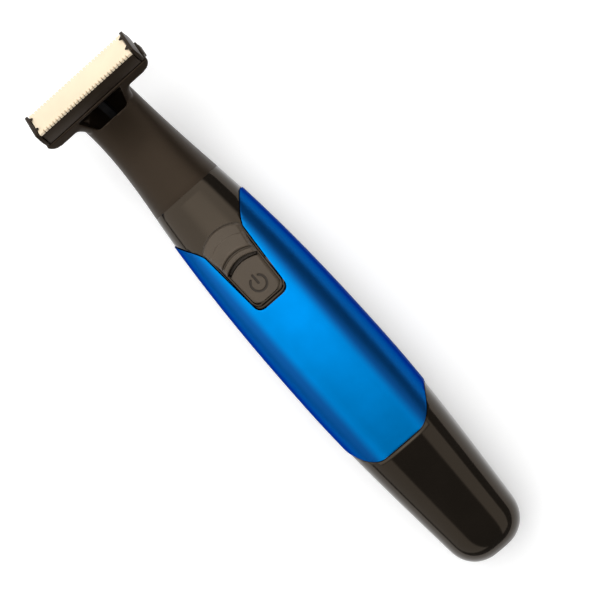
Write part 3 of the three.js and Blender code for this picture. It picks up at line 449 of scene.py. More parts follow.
def cut_half(piece, is_front):
    side = 1 if is_front else -1
    edit_all(piece)
    bpy.ops.mesh.bisect(plane_co=at(0, 0, PARTING_Z + side * PARTING), plane_no=(0, 0, side), use_fill=True,
                        clear_inner=True)
    close_edit()
    return piece


class GROOMER_OT_shells(bpy.types.Operator):
    """Model the front and rear shells of the handle"""

    bl_idname = "groomer.shells"
    bl_label = "Handle shells"

    def execute(self, context):
        gloss = piano_black_abs()
        front = cut_half(handle_form("handle_front_shell", 0), True)
        combine(front, "DIFFERENCE", *shell_tools())
        recess = front_outline(cover_outline(GAP), low=-4 * MM)
        combine(recess, "DIFFERENCE", handle_form("core", RECESS_DEPTH))
        combine(front, "DIFFERENCE", recess)
        pocket = front_outline(
            pad_outline(BEZEL_GAP + BEZEL_WIDTH + GAP, POCKET_TOP + BEZEL_WIDTH + GAP), low=0)
        combine(pocket, "DIFFERENCE", handle_form("core", 1.4 * MM))
        slot = block("slot", at(-1.25 * MM, HUMP_LOW - 3.55 * MM, 4 * MM),
                     at(1.25 * MM, HUMP_LOW + 4.65 * MM, 12 * MM))
        combine(front, "DIFFERENCE", pocket, slot)
        soften(front, 0.12 * MM)
        finish_piece(front, "handle", "gloss_black", gloss, "front_shell")
        rear = cut_half(handle_form("handle_rear_shell", 0), False)
        combine(rear, "DIFFERENCE", *shell_tools())
        soften(rear, 0.12 * MM)
        finish_piece(rear, "handle", "gloss_black", gloss, "rear_shell")
        return {"FINISHED"}


class GROOMER_OT_grip_cover(bpy.types.Operator):
    """Model the lacquered cover that the hand grips"""

    bl_idname = "groomer.grip_cover"
    bl_label = "Grip cover"

    def execute(self, context):
        cover = handle_form("grip_cover_skin", -context.scene.handle_sizes.cover_proud)
        combine(cover, "INTERSECT", front_outline(cover_outline(0)))
        combine(cover, "DIFFERENCE", handle_form("core", COVER_DEPTH))
        soften(cover, 0.2 * MM, segments=3)
        finish_piece(cover, "handle", "metallic_blue", blue_metallic_lacquer(), "grip_cover")
        return {"FINISHED"}


# ---------------------------------------------------------------- thumb slider


class GROOMER_OT_bezel(bpy.types.Operator):
    """Model the thin frame round the slider"""

    bl_idname = "groomer.bezel"
    bl_label = "Slider bezel"

    def execute(self, context):
        bezel = handle_form("slider_bezel", -0.15 * MM)
        outer = pad_outline(BEZEL_GAP + BEZEL_WIDTH, POCKET_TOP + BEZEL_WIDTH)
        combine(bezel, "INTERSECT", front_outline(outer, low=0))
        combine(bezel, "DIFFERENCE", handle_form("core", 1.1 * MM),
                front_outline(pad_outline(BEZEL_GAP, POCKET_TOP), low=0))
        soften(bezel, 0.12 * MM)
        finish_piece(bezel, "handle", "gloss_black", piano_black_abs(), "switch_bezel")
        return {"FINISHED"}


def arc_sag(x):
    """How far the arcs across the slider fall back at x."""
    radius = 8.5 * MM
    return radius - math.sqrt(max(0.0, radius * radius - x * x))


def groove_strength(y_arc):
    """1 in the groove under the hump."""
    return bump(y_arc, HUMP_LOW - 0.5 * MM, 0.38 * MM, 0.2 * MM)


def symbol_strength(x, y):
    """1 on the power symbol and 0 off it, at x and y from its middle: an open ring and a bar."""
    radius = bpy.context.scene.slider_sizes.symbol_radius
    line, soft = 0.2 * MM, 0.16 * MM
    opening = math.radians(36)
    if abs(math.atan2(x, y)) > opening:
        ring = abs(math.hypot(x, y) - radius)
    else:
        ring = math.hypot(abs(x) - radius * math.sin(opening), y - radius * math.cos(opening))
    bar = math.hypot(x, y - min(max(y, 0.05 * MM), radius * 1.15))
    return 1 - smoothstep(line, line + soft, min(ring, bar))


def bump(value, middle, half, soft):
    return 1 - smoothstep(half, half + soft, abs(value - middle))


def slider_height(x, y, half):
    """How far the slider stands over the handle's front at a place."""
    y_arc = y + arc_sag(x)
    inward = half - abs(x)
    pad = 0.35 * MM * smoothstep(-0.2 * MM, 0.7 * MM, inward) - 0.05 * MM
    pad -= 1.05 * MM * groove_strength(y_arc) * smoothstep(0.1 * MM, 0.5 * MM, inward)
    along = (y_arc - HUMP_LOW) / (HUMP_HIGH - HUMP_LOW)
    top = mix(1.72, 1.2, smoothstep(0.1, 1.0, along)) * MM
    top -= 0.4 * MM * bump(y_arc, CREASE, 0.12 * MM, 0.3 * MM)
    top += 0.12 * MM * bump(y_arc, HUMP_LOW + 2.5 * MM, 0.1 * MM, 0.35 * MM)
    top -= 0.2 * MM * smoothstep(HUMP_LOW + 5.8 * MM, HUMP_LOW + 6.3 * MM, y_arc)
    top -= 0.75 * MM * smoothstep(HUMP_HIGH - 0.8 * MM, HUMP_HIGH, y_arc)
    top -= 0.3 * MM * (1 - smoothstep(HUMP_LOW, HUMP_LOW + 0.35 * MM, y_arc))
    hump = mix(0.5 * MM, top, smoothstep(-0.1 * MM, 0.9 * MM, inward) ** 0.6)
    return mix(pad, hump, smoothstep(HUMP_LOW - 0.1 * MM, HUMP_LOW + 0.1 * MM, y_arc))


class GROOMER_OT_slider(bpy.types.Operator):
    """Model the thumb slider with its hump, ridges and power symbol"""

    bl_idname = "groomer.slider"
    bl_label = "Thumb slider"

    def execute(self, context):
        sizes = context.scene.slider_sizes
        columns, rows = 120, 230
        bpy.ops.object.select_all(action="DESELECT")
        bpy.ops.mesh.primitive_grid_add(x_subdivisions=columns, y_subdivisions=rows, size=2)
        slider = context.object
        slider.name = "thumb_slider"
        symbol_y = PAD_LOW + 4.0 * MM
        shoulder = HUMP_LOW - arc_sag(HUMP_LOW_HALF)

        def half_at(y):
            pad = sizes.pad_half_width + PAD_FLARE * min(1.0, (y - PAD_LOW) / (HUMP_LOW - PAD_LOW))
            from_corner = max(0.0, PAD_ROUNDING - (y - PAD_LOW))
            pad -= PAD_ROUNDING - math.sqrt(max(0.0, PAD_ROUNDING ** 2 - from_corner ** 2))
            hump = mix(HUMP_LOW_HALF, sizes.hump_half_width,
                       smoothstep(HUMP_LOW - MM, HUMP_HIGH - 1.5 * MM, y))
            return mix(pad, hump, smoothstep(shoulder - 0.15 * MM, shoulder + 0.15 * MM, y))

        def place(point):
            row = (point.y + 1) / 2
            y = mix(PAD_LOW, HUMP_HIGH, row)
            half = half_at(y)
            x = point.x * half
            y -= arc_sag(x) * smoothstep(0.8, 1.0, row)
            lift = slider_height(x, y, half)
            lift -= sizes.symbol_depth * symbol_strength(x, y - symbol_y)
            return at(x, y, surface_z(x, y) + lift)

        place_points(slider, place)
        edit_all(slider)
        bpy.ops.mesh.extrude_region_move(TRANSFORM_OT_translate={"value": (0, 0, -0.9 * MM)})
        close_edit()
        outward(slider)
        # painted shade: the groove under the hump, the crease across it and the hump's upper edge are
        # darkened where shade falls; the sunk power symbol is darkened with them
        ink = slider.data.attributes.new("ink", "FLOAT", "POINT")
        for vertex, value in zip(slider.data.vertices, ink.data):
            x, y = vertex.co.x, vertex.co.y - HANDLE_END
            y_arc = y + arc_sag(x)
            crease = 0.5 * bump(y_arc, CREASE, 0.1 * MM, 0.25 * MM)
            lip = 0.6 * smoothstep(HUMP_HIGH - 0.5 * MM, HUMP_HIGH - 0.2 * MM, y_arc)
            value.value = max(symbol_strength(x, y - symbol_y), groove_strength(y_arc), crease, lip)
        select_only(slider)
        bpy.ops.object.shade_smooth_by_angle(angle=math.radians(60))
        finish_piece(slider, "slider", "dark_grey", grey_satin_abs(), "power_slider")
        return {"FINISHED"}


# ---------------------------------------------------------------- neck and head

HEAD_TILT = math.radians(45)
PLATE_Y = SEAM + 36.7 * MM
PLATE_Z = 13.3 * MM
HEAD_DEPTH = 7.6 * MM
HEAD_HALF = 3.8 * MM  # half of the comb plate's width
BAR_TOP = 2.6 * MM - HEAD_DEPTH  # where the bar ends and the blade unit sits on it
NECK_Z = -0.4 * MM


def in_head(x, out, front):
    """A point of the head's tilted frame: out through the comb plate, front toward the shaving edge."""
    turned = Matrix.Rotation(HEAD_TILT, 3, "X") @ Vector((x, out, front))
    return at(turned.x, PLATE_Y + turned.y, PLATE_Z + turned.z)


def tilt_to_head(piece):
    place_points(piece, lambda point: in_head(point.x, point.y, point.z))
    outward(piece)
    return piece


def head_prism(name, outline, low, high):
    """An outline across the head and out of it, stood up toward its front edge."""
    return tilt_to_head(prism(name, outline, low, high))


def neck_centre(t):
    end = in_head(0, MM - HEAD_DEPTH, 0) - at(0, 0, 0)
    start = Vector((0, SEAM + PARTING, NECK_Z))
    reach = (end.y - start.y) / 2
    out = Vector((0, math.cos(HEAD_TILT), math.sin(HEAD_TILT)))
    points = (start, start + Vector((0, reach, 0)), end - out * reach * 0.55, end)
    weights = ((1 - t) ** 3, 3 * t * (1 - t) ** 2, 3 * t * t * (1 - t), t ** 3)
    slopes = (-3 * (1 - t) ** 2, 3 * (1 - t) * (1 - 3 * t), 3 * t * (2 - 3 * t), 3 * t * t)
    centre = sum((p * w for p, w in zip(points, weights)), Vector())
    along = sum((p * s for p, s in zip(points, slopes)), Vector()).normalized()
    return centre, along


def neck_form(name, inset, rings=40, shift=0.0):
    """The neck's outer form less an inset; shift moves its first section along the neck."""
    width, _, _ = handle_curves()
    depth = smooth_curve((0, 8.2 * MM, -5 * MM), (0.45, 5.7 * MM, -4.5 * MM), (1, 3.6 * MM, -MM))

    def place(ring, across, up):
        t = ring / rings
        centre, along = neck_centre(t)
        if ring == 0:
            centre.y += shift
        lift = signed_power(up, 2 / FRONT_FULLNESS) * (depth(t) - inset)
        x = signed_power(across, 2 / FRONT_FULLNESS) * (width(centre.y) - inset)
        return at(x, centre.y - lift * along.z, centre.z + lift * along.y)

    return loft(name, rings, bpy.context.scene.handle_sizes.sides, place)


def plug_form(name, half_width, half_depth, start, end):
    return loft(name, 1, 64, lambda ring, across, up: at(
        signed_power(across, 2 / FRONT_FULLNESS) * half_width, (start, end)[ring],
        NECK_Z + signed_power(up, 2 / FRONT_FULLNESS) * half_depth))


def bar_outline():
    """The bar across the head, seen from its front: flat below with rounded lower corners."""
    half, rounding = 16.6 * MM, 3.7 * MM
    low = -HEAD_DEPTH
    right = [(0, low)]
    right += corner((half - rounding, low), (half - 0.6 * MM, low), (half - 0.1 * MM, BAR_TOP), 14)
    right += [(half - 0.1 * MM, BAR_TOP), (0, BAR_TOP)]
    return mirrored(right)


def shoulder_form():
    """What runs the neck's section out into the bar through two fillets."""
    fillet, reach, rings = 3.9 * MM, 5.6 * MM, 24

    def place(ring, across, up):
        t = ring / rings
        rise = max(0.0, 1 - reach * (1 - t) / fillet)
        half = 7.45 * MM + fillet * (1 - math.sqrt(1 - rise * rise))
        fullness = mix(FRONT_FULLNESS, 9, smoothstep(0, 0.5, t))
        x = signed_power(across, 2 / fullness) * half
        front = signed_power(up, 2 / fullness) * mix(3.6 * MM, HEAD_HALF, t)
        return in_head(x, -HEAD_DEPTH - reach * (1 - t) + 0.3 * MM * t, front)

    return loft("shoulder", rings, 96, place)


def round_all(piece, grain, passes):
    """Runs the joined forms into one skin whose edges are all rounded, as on a moulding."""
    apply_modifier(piece, "REMESH", mode="VOXEL", voxel_size=grain, adaptivity=0.0)
    apply_modifier(piece, "SMOOTH", factor=0.5, iterations=passes)
    select_only(piece)
    bpy.ops.object.shade_smooth()


class GROOMER_OT_neck(bpy.types.Operator):
    """Model the neck and the bar that carries the blade unit"""

    bl_idname = "groomer.neck"
    bl_label = "Neck"

    def execute(self, context):
        neck = neck_form("neck_moulding", 0, shift=-2 * MM)
        low = -HEAD_DEPTH
        back = -HEAD_HALF - 1.1 * MM
        span, lug_width, ear_half = 15.2 * MM, 3.4 * MM, 16.72 * MM
        bar = head_prism("bar", bar_outline(), -HEAD_HALF, HEAD_HALF)
        rail = tilt_to_head(block("rail", (-span, low + MM, back), (span, BAR_TOP, MM - HEAD_HALF)))
        ears = tilt_to_head(block("ears", (-ear_half, BAR_TOP - 1.6 * MM, -2.3 * MM),
                                  (ear_half, BAR_TOP, 1.3 * MM)))
        lugs = [tilt_to_head(block("lug", (left, low + MM, back),
                                   (left + lug_width, BAR_TOP + 3 * MM, back + 0.8 * MM)))
                for left in (-span, span - lug_width)]
        combine(neck, "UNION", bar, shoulder_form(), rail, ears, *lugs)
        channel = neck_form("channel", 1.6 * MM, rings=20, shift=1.2 * MM)
        plug = plug_form("plug", 7.6 * MM, 6.5 * MM, SEAM - 7 * MM, SEAM + MM)
        plug_room = plug_form("plug_room", 6.3 * MM, 5.2 * MM, SEAM - 8 * MM, SEAM + 2 * MM)
        head_room = tilt_to_head(
            block("head_room", (-4.5 * MM, low - 2 * MM, -2.1 * MM), (4.5 * MM, 0, 2.1 * MM)))
        window_top = (in_head(0, low, HEAD_HALF) - at(0, 0, 0)).y + 1.4 * MM
        window_low = window_top - 4.5 * MM
        window = front_outline(mirrored(
            [(0, window_low)]
            + corner((3.9 * MM, window_low), (4.9 * MM, window_low), (5.2 * MM, window_low + MM), 6)
            + [(5.2 * MM, window_low + MM), (6.9 * MM, window_top), (0, window_top)]),
            low=4.5 * MM, high=20 * MM)
        combine(neck, "DIFFERENCE", channel, head_room, window)
        round_all(neck, 0.24 * MM, 5)
        # the seam's edge stays crisp: the rounded form is cut there, and the plug put on after
        below = block("below", (-20 * MM, HANDLE_END, 0), (20 * MM, HANDLE_END + SEAM + 0.02 * MM, 40 * MM))
        combine(neck, "DIFFERENCE", below)
        combine(neck, "UNION", plug)
        combine(neck, "DIFFERENCE", plug_room)
        select_only(neck)
        bpy.ops.object.shade_smooth_by_angle(angle=math.radians(40))
        finish_piece(neck, "neck_unit", "satin_black", black_satin_abs(), "neck_shell")
        return {"FINISHED"}


def comb_block(name, half_length, half_width, pitch, slot, depth, low, high):
    """A plate with slots along both long edges, lying across the head."""
    plate = block(name, (-half_length, low, -half_width), (half_length, high, half_width))
    count = int((2 * half_length - slot) / pitch) - 1
    first = -(count - 1) * pitch / 2
    cutter = None
    for index in range(count):
        for side in (-1, 1):
            x = first + index * pitch
            edges = sorted((side * (half_width - depth), side * (half_width + MM)))
            tooth_gap = block("gap", (x - slot / 2, low - MM, edges[0]), (x + slot / 2, high + MM, edges[1]))
            if cutter is None:
                cutter = tooth_gap
            else:
                select_only(cutter)
                tooth_gap.select_set(True)
                bpy.ops.object.join()
    return combine(plate, "DIFFERENCE", cutter)


class GROOMER_OT_comb_plate(bpy.types.Operator):
    """Model the coated comb plate"""

    bl_idname = "groomer.comb_plate"
    bl_label = "Comb plate"

    def execute(self, context):
        sizes = context.scene.head_sizes
        plate = comb_block("toothed_comb_plate", 15 * MM, HEAD_HALF, sizes.tooth_pitch, 0.24 * MM,
                           sizes.tooth_depth, -0.8 * MM, 0)
        tilt_to_head(plate)
        soften(plate, 0.06 * MM)
        finish_piece(plate, "blade_unit", "cream_coat", cream_ceramic_coat(), "comb_plate")
        return {"FINISHED"}


class GROOMER_OT_blade_unit(bpy.types.Operator):
    """Model the blade housing and its two end guards"""

    bl_idname = "groomer.blade_unit"
    bl_label = "Blade housing and guards"

    def execute(self, context):
        satin = black_satin_abs()
        edge = context.scene.head_sizes.edge
        low, top = -HEAD_DEPTH + 2.9 * MM, -1.1 * MM
        housing = block("blade_unit_housing", (-14.9 * MM, low, -3.6 * MM), (14.9 * MM, top, 3.6 * MM))
        room = block("room", (-14.3 * MM, low + 0.8 * MM, -3.25 * MM), (14.3 * MM, MM, 3.25 * MM))
        tip = block("tip_slot", (-3.6 * MM, low - MM, -1.9 * MM), (3.6 * MM, MM, 1.9 * MM))
        combine(housing, "DIFFERENCE", room, tip)
        tilt_to_head(housing)
        soften(housing, edge * 0.4)
        finish_piece(housing, "blade_unit", "satin_black", satin, "blade_housing")
        inner, outer, foot = 15.2 * MM, 16.2 * MM, low + 0.3 * MM
        for side, word in ((-1, "left"), (1, "right")):
            profile = [(inner, foot), (outer - 0.2 * MM, foot), (outer, foot + 1.8 * MM),
                       (outer - 0.15 * MM, 0.5 * MM), (inner, 0.5 * MM)]
            guard = prism("end_guard_" + word + "_moulding", [(side * x, out) for x, out in profile],
                          -HEAD_HALF, HEAD_HALF)
            teeth = []
            for middle in (-2 * MM, 2 * MM):
                shape = [(inner + 0.4 * MM, middle - 0.9 * MM), (inner + 0.4 * MM, middle + 0.9 * MM),
                         (inner - 0.9 * MM, middle + 0.15 * MM), (inner - 0.9 * MM, middle - 0.15 * MM)]
                tooth = prism("tooth", [(side * x, -front) for x, front in shape], 0.2 * MM, 0.5 * MM)
                place_points(tooth, lambda point: Vector((point.x, point.z, -point.y)))
                outward(tooth)
                teeth.append(tooth)
            combine(guard, "UNION", *teeth)
            tilt_to_head(guard)
            soften(guard, edge * 0.5)
            finish_piece(guard, "blade_unit", "satin_black", satin, "end_guard_" + word)
        return {"FINISHED"}


# ---------------------------------------------------------------- materials


def node(material, kind, links=(), **settings):
    """Adds a node with its settings, and links (node, output) pairs into its inputs."""
    made = material.node_tree.nodes.new(kind)
    for name, value in settings.items():
        if name.startswith("in_"):
            made.inputs[name[3:].replace("_", " ")].default_value = value
        else:
            setattr(made, name, value)
    for target, source, output in links:
        material.node_tree.links.new(source.outputs[output], made.inputs[target])
    return made


def plain_material(name, colour, **settings):
    """A material with a fresh shader; settings go straight to its sockets."""
    material = bpy.data.materials.get(name)
    if material:
        return material, None
    material = bpy.data.materials.new(name)
    material.use_nodes = True
    shader = material.node_tree.nodes["Principled BSDF"]
    shader.inputs["Base Color"].default_value = (*colour, 1)
    for key, value in settings.items():
        shader.inputs[key.replace("_", " ").title().replace("Ior", "IOR")].default_value = value
    return material, shader


CLOUD_SIZE = 9 * MM  # of the slow change in tone over a moulding


def add_surface(material, shader, grain_mm, tone, roughness, bump_mm, stretch=(1, 1, 1)):
    """Varies tone and roughness and raises a fine grain, at the grain's real size."""
    tree = material.node_tree
    coordinates = node(material, "ShaderNodeTexCoord")
    mapping = node(material, "ShaderNodeMapping", [("Vector", coordinates, "Object")], in_Scale=stretch)
    grain = node(material, "ShaderNodeTexNoise", [("Vector", mapping, "Vector")],
                 in_Scale=1 / (grain_mm * MM), in_Detail=3)
    cloud = node(material, "ShaderNodeTexNoise", [("Vector", mapping, "Vector")],
                 in_Scale=1 / CLOUD_SIZE, in_Detail=2)
    base = Vector(shader.inputs["Base Color"].default_value[:3])
    ramp = node(material, "ShaderNodeValToRGB", [("Fac", cloud, "Fac")])
    ramp.color_ramp.elements[0].position = 0.35
    ramp.color_ramp.elements[1].position = 0.65
    ramp.color_ramp.elements[0].color = (*(base * (1 - tone)), 1)
    ramp.color_ramp.elements[1].color = (*(base * (1 + tone)), 1)
    tree.links.new(ramp.outputs["Color"], shader.inputs["Base Color"])
    shine = node(material, "ShaderNodeMapRange", [("Value", grain, "Fac")], in_To_Min=roughness[0],
                 in_To_Max=roughness[1])
    tree.links.new(shine.outputs["Result"], shader.inputs["Roughness"])
    relief = node(material, "ShaderNodeBump", [("Height", grain, "Fac")],
                  in_Distance=bump_mm * MM, in_Strength=1.0)
    tree.links.new(relief.outputs["Normal"], shader.inputs["Normal"])
    return material


def mix_over(material, shader, mask, output, hex_colour):
    """Lays a colour over the shader's own where the mask is 1."""
    links = material.node_tree.links
    under = shader.inputs["Base Color"].links[0].from_node
    mixed = node(material, "ShaderNodeMix", [("Factor", mask, output)], data_type="RGBA", blend_type="MIX")
    colours = [socket for socket in mixed.inputs if socket.type == "RGBA"]
    links.new(under.outputs["Color"], colours[0])
    colours[1].default_value = (*linear(hex_colour), 1)
    links.new(next(socket for socket in mixed.outputs if socket.type == "RGBA"), shader.inputs["Base Color"])


def piano_black_abs():
    """ABS moulded in a polished tool: deep black that mirrors what is round it, with slight orange peel."""
    material, shader = plain_material(
        "piano_black_abs_polished_moulding", bpy.context.scene.finishes.gloss_black,
        ior=1.47, specular_tint=(1, 0.8, 0.6, 1))
    if shader:
        add_surface(material, shader, 2.4, 0.12, (0.09, 0.14), 0.002)
    return material


def black_satin_abs():
    """ABS moulded in a spark-eroded tool: a soft black with a fine even grain that spreads highlights."""
    material, shader = plain_material(
        "black_abs_spark_eroded_moulding", bpy.context.scene.finishes.satin_black,
        ior=1.39, specular_tint=(1, 0.76, 0.56, 1))
    if shader:
        add_surface(material, shader, 0.35, 0.08, (0.36, 0.5), 0.012)
    return material


def grey_satin_abs():
    """ABS in dark grey from a fine-blasted tool: satin, a little lighter than the neck."""
    material, shader = plain_material(
        "dark_grey_abs_blasted_moulding", bpy.context.scene.finishes.slider_grey,
        ior=1.47, specular_tint=(1, 0.87, 0.74, 1))
    if shader:
        add_surface(material, shader, 0.3, 0.06, (0.38, 0.5), 0.008)
        # the power symbol is darker than the rest; the groove, the crease and the hump's upper edge get
        # painted shade
        ink = node(material, "ShaderNodeAttribute", attribute_name="ink")
        mix_over(material, shader, ink, "Fac", 0x1A1511)
    return material


def blue_metallic_lacquer():
    """Aluminium-flake lacquer sprayed satin on ABS: bright on the crown, with painted shade that turns it a
    deeper navy down the sides.
    """
    material, shader = plain_material("blue_flake_lacquer_sprayed_satin", bpy.context.scene.finishes.lacquer,
                                      metallic=1.0, specular_tint=(0.14, 0.25, 0.5, 1))
    if shader:
        # flakes of some 0.05 mm, drawn at 0.22 mm so that they show
        add_surface(material, shader, 0.22, 0.05, (0.3, 0.38), 0.002)
        # painted shade: the sides are darkened to navy by their distance from the middle, standing in for the
        # dimmer reflection the sides catch
        place = node(material, "ShaderNodeTexCoord")
        axes = node(material, "ShaderNodeSeparateXYZ", [("Vector", place, "Object")])
        aside = node(material, "ShaderNodeMath", [(0, axes, "X")], operation="ABSOLUTE")
        side = node(material, "ShaderNodeMapRange", [("Value", aside, "Value")],
                    interpolation_type="SMOOTHSTEP",
                    in_From_Min=5.6 * MM, in_From_Max=8.4 * MM, in_To_Min=0.0, in_To_Max=1.0)
        mix_over(material, shader, side, "Result", 0x0E5296)
    return material


def cream_ceramic_coat():
    """Hard ceramic coating on a stamped steel comb: pale cream, low gloss, slightly mottled."""
    material, shader = plain_material("cream_ceramic_coating_on_steel", bpy.context.scene.finishes.comb_cream,
                                      ior=1.6)
    if shader:
        add_surface(material, shader, 0.5, 0.03, (0.35, 0.5), 0.01)
    return material


def ground_steel():
    """Stainless steel ground along the blade: fine lines along X that stretch the highlight."""
    material, shader = plain_material("stainless_steel_ground", linear(0xB9BCC0), metallic=1.0)
    if shader:
        add_surface(material, shader, 0.2, 0.05, (0.22, 0.4), 0.006, stretch=(0.05, 1, 1))
    return material


def zinc_plated_steel():
    """Drawn steel can with bright zinc plating: soft clouds and a faint spangle."""
    material, shader = plain_material("zinc_plated_drawn_steel", linear(0xAEB2B4), metallic=1.0)
    if shader:
        add_surface(material, shader, 1.2, 0.1, (0.28, 0.42), 0.01)
    return material


def nickel_strip():
    """Rolled nickel strip: warm grey metal with rolling lines."""
    material, shader = plain_material("nickel_rolled_strip", linear(0xC4BDAA), metallic=1.0)
    if shader:
        add_surface(material, shader, 0.3, 0.06, (0.25, 0.4), 0.006, stretch=(1, 1, 0.08))
    return material


def natural_acetal():
    """Acetal moulding, undyed: milky white and waxy, for the bracket, cam and slides."""
    material, shader = plain_material(
        "natural_acetal_moulding", linear(0xE4E2DA), subsurface_weight=0.15, ior=1.48)
    if shader:
        shader.inputs["Subsurface Radius"].default_value = (0.4 * MM, 0.4 * MM, 0.4 * MM)
        add_surface(material, shader, 0.6, 0.02, (0.35, 0.45), 0.006)
    return material


def solder_mask():
    """Green solder mask printed on a glass-fibre board: glossy, with the weave just showing."""
    material, shader = plain_material("green_solder_mask_on_glass_fibre", linear(0x1B5E34), ior=1.5)
    if shader:
        add_surface(material, shader, 0.8, 0.12, (0.2, 0.35), 0.01)
    return material


def shrink_wrap():
    """PVC sleeve shrunk on the cell: smooth, glossy, with slight waves."""
    material, shader = plain_material("pvc_shrink_sleeve", linear(0x2F6F4A), ior=1.53)
    if shader:
        add_surface(material, shader, 3.0, 0.06, (0.15, 0.28), 0.02)
    return material


def black_acetal():
    """Acetal moulding dyed through: waxy black, for the lever that shows behind the window."""
    material, shader = plain_material("black_acetal_moulding", linear(0x050404), ior=1.3)
    if shader:
        add_surface(material, shader, 0.5, 0.06, (0.6, 0.7), 0.006)
    return material


def silicone_seal():
    """Silicone rubber ring: matt black, soft."""
    material, shader = plain_material("silicone_rubber_moulding", linear(0x1E1E1E), ior=1.41)
    if shader:
        add_surface(material, shader, 0.4, 0.1, (0.7, 0.85), 0.01)
    return material


NODE_FINISHES = {
    solder_mask: ("circuit_board",),
    ground_steel: ("slide_switch", "board_screw_lower", "board_screw_upper", "motor_shaft", "lever_pivot_pin",
                   "blade_spring_left", "blade_spring_right", "moving_blade"),
    zinc_plated_steel: ("motor_can", "charge_socket"),
    shrink_wrap: ("battery_cell",),
    nickel_strip: ("battery_tab_negative", "battery_tab_positive"),
    natural_acetal: ("motor_bracket", "slider_carrier", "switch_nub", "eccentric_cam", "blade_carrier"),
    black_acetal: ("drive_lever",),
    silicone_seal: ("neck_seal",),
}


class GROOMER_OT_inner_finishes(bpy.types.Operator):
    """Give the working parts inside their finishes"""

    bl_idname = "groomer.inner_finishes"
    bl_label = "Inner finishes"

    def execute(self, context):
        for finish, names in NODE_FINISHES.items():
            for name in names:
                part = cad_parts[name]
                for slot in part.material_slots:
                    slot.material = finish()
        return {"FINISHED"}


# ---------------------------------------------------------------- stage


def area_light(name, size, power, place, target):
    data = bpy.data.lights.new(name, "AREA")
    data.shape = "RECTANGLE"
    data.size, data.size_y = size
    data.energy = power
    light = bpy.data.objects.new(name, data)
    bpy.context.scene.collection.objects.link(light)
    light.location = place
    light.rotation_euler = (Vector(target) - Vector(place)).to_track_quat("-Z", "Y").to_euler()
    return light


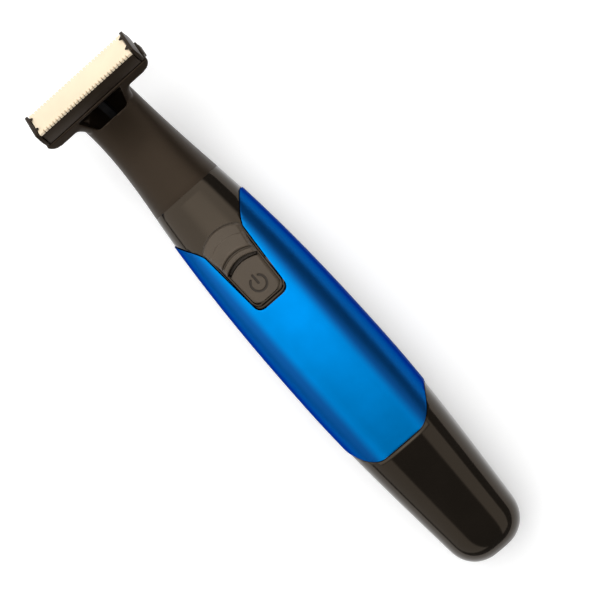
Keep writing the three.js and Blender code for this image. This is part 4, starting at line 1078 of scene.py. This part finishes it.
class GROOMER_OT_stage(bpy.types.Operator):
    """Set the floor, the lights and the camera"""

    bl_idname = "groomer.stage"
    bl_label = "Stage"

    def execute(self, context):
        bpy.ops.object.select_all(action="DESELECT")
        bpy.ops.mesh.primitive_plane_add(size=6, location=(0, 0, 0))
        floor = context.object
        floor.name = "floor"
        paper, shader = plain_material("pale_paper_sweep", linear(0xFBFBFB))
        if shader:
            add_surface(paper, shader, 4.0, 0.004, (0.8, 0.9), 0.0)
            # the table glows faintly, which keeps its shadows pale
            shader.inputs["Emission Color"].default_value = (1, 1, 1, 1)
            shader.inputs["Emission Strength"].default_value = 0.25
        floor.data.materials.append(paper)
        context.scene.view_settings.view_transform = "Standard"
        context.scene.world = self.light_tent()
        area_light("head_light", (0.4, 0.25), 0.6, (0.0, 0.5, 0.42), (0, 0.05, 0))
        self.add_camera(context)
        return {"FINISHED"}

    def light_tent(self):
        """A dim tent with soft-edged white panels.

        A panel has its radiance, then its low side, high side and soft edge, across and then along the
        groomer, as slopes x/z and y/z of the direction toward it.
        """
        world = bpy.data.worlds.new("light_tent")
        world.use_nodes = True
        background = world.node_tree.nodes["Background"]
        direction = node(world, "ShaderNodeTexCoord")
        axes = node(world, "ShaderNodeSeparateXYZ", [("Vector", direction, "Generated")])
        height = node(world, "ShaderNodeMath", [(0, axes, "Z")], operation="MAXIMUM")
        height.inputs[1].default_value = 0.02
        across = node(world, "ShaderNodeMath", [(0, axes, "X"), (1, height, "Value")], operation="DIVIDE")
        along = node(world, "ShaderNodeMath", [(0, axes, "Y"), (1, height, "Value")], operation="DIVIDE")
        total = node(world, "ShaderNodeValue")
        total.outputs["Value"].default_value = 0.16  # the tent's own radiance
        for radiance, (x_low, x_high, soft_x), (y_low, y_high, soft_y) in (
                (1.6, (-9.0, 0.75, 0.5), (0.0, 1.6, 0.14)),
                (0.8, (0.44, 1.6, 0.08), (-2.5, -0.2, 0.08)),
                (0.75, (-9.0, -0.72, 0.08), (-2.5, -0.2, 0.08)),
                (1.3, (-0.15, 0.15, 0.3), (0.04, 0.07, 0.09))):
            panel_x = self.band(world, across, (x_low + x_high) / 2, (x_high - x_low) / 2, soft_x)
            panel_y = self.band(world, along, (y_low + y_high) / 2, (y_high - y_low) / 2, soft_y)
            panel = node(world, "ShaderNodeMath", [(0, panel_x, "Result"), (1, panel_y, "Result")],
                         operation="MULTIPLY")
            total = node(world, "ShaderNodeMath", [(0, panel, "Value"), (2, total, "Value")],
                         operation="MULTIPLY_ADD")
            total.inputs[1].default_value = radiance
        world.node_tree.links.new(total.outputs["Value"], background.inputs["Strength"])
        background.inputs["Color"].default_value = (1, 1, 1, 1)
        return world

    def band(self, world, source, middle, half, soft):
        """1 where the source lies within half of middle, falling to 0 over soft."""
        offset = node(world, "ShaderNodeMath", [(0, source, "Value")], operation="SUBTRACT")
        offset.inputs[1].default_value = middle
        away = node(world, "ShaderNodeMath", [(0, offset, "Value")], operation="ABSOLUTE")
        return node(world, "ShaderNodeMapRange", [("Value", away, "Value")], interpolation_type="SMOOTHSTEP",
                    in_From_Min=half, in_From_Max=half + soft, in_To_Min=1.0, in_To_Max=0.0)

    def add_camera(self, context):
        data = bpy.data.cameras.new("camera")
        camera = bpy.data.objects.new("camera", data)
        context.scene.collection.objects.link(camera)
        context.scene.camera = camera
        yaw, pitch, roll = math.radians(8.6), math.radians(3), math.radians(41.75)
        distance = 0.7
        view_width = 148.9 * MM
        data.sensor_width = 36
        data.lens = data.sensor_width * distance / view_width
        toward = Vector((math.sin(yaw) * math.cos(pitch), math.sin(pitch), math.cos(yaw) * math.cos(pitch)))
        up = Vector((math.sin(roll), math.cos(roll), 0))
        right = up.cross(toward).normalized()
        up = toward.cross(right).normalized()
        aim = at(0, 80 * MM, 0) + right * 2.8 * MM + up * 1.8 * MM
        camera.matrix_world = Matrix.Translation(aim + toward * distance) @ Matrix(
            (right, up, toward)).transposed().to_4x4()


# ---------------------------------------------------------------- add-on

OPERATORS = (
    GROOMER_OT_stage, GROOMER_OT_shells, GROOMER_OT_grip_cover, GROOMER_OT_bezel, GROOMER_OT_slider,
    GROOMER_OT_neck, GROOMER_OT_comb_plate, GROOMER_OT_blade_unit, GROOMER_OT_inner_finishes,
)


class GROOMER_PT_panel(bpy.types.Panel):
    """Sizes, finishes and the steps that build the groomer"""

    bl_label = "Body Groomer"
    bl_idname = "GROOMER_PT_panel"
    bl_space_type = "VIEW_3D"
    bl_region_type = "UI"
    bl_category = "Groomer"

    def draw(self, context):
        for operator in OPERATORS:
            self.layout.operator(operator.bl_idname)
        for group_name in GROUPS:
            group = getattr(context.scene, group_name)
            box = self.layout.box()
            for name in group.bl_rna.properties.keys():
                if name not in {"rna_type", "name"}:
                    box.prop(group, name)


GROUPS = {
    "handle_sizes": HandleSizes, "slider_sizes": SliderSizes, "head_sizes": HeadSizes, "finishes": Finishes,
}


def register():
    for name, group in GROUPS.items():
        bpy.utils.register_class(group)
        setattr(bpy.types.Scene, name, PointerProperty(type=group))
    for item in (*OPERATORS, GROOMER_PT_panel):
        bpy.utils.register_class(item)


def unregister():
    for item in reversed((*OPERATORS, GROOMER_PT_panel)):
        bpy.utils.unregister_class(item)
    for name, group in GROUPS.items():
        delattr(bpy.types.Scene, name)
        bpy.utils.unregister_class(group)


def main():
    register()
    bpy.ops.groomer.stage()
    bpy.ops.groomer.shells()
    bpy.ops.groomer.grip_cover()
    bpy.ops.groomer.bezel()
    bpy.ops.groomer.slider()
    bpy.ops.groomer.neck()
    bpy.ops.groomer.comb_plate()
    bpy.ops.groomer.blade_unit()
    bpy.ops.groomer.inner_finishes()


if __name__ == "__main__":
    main()
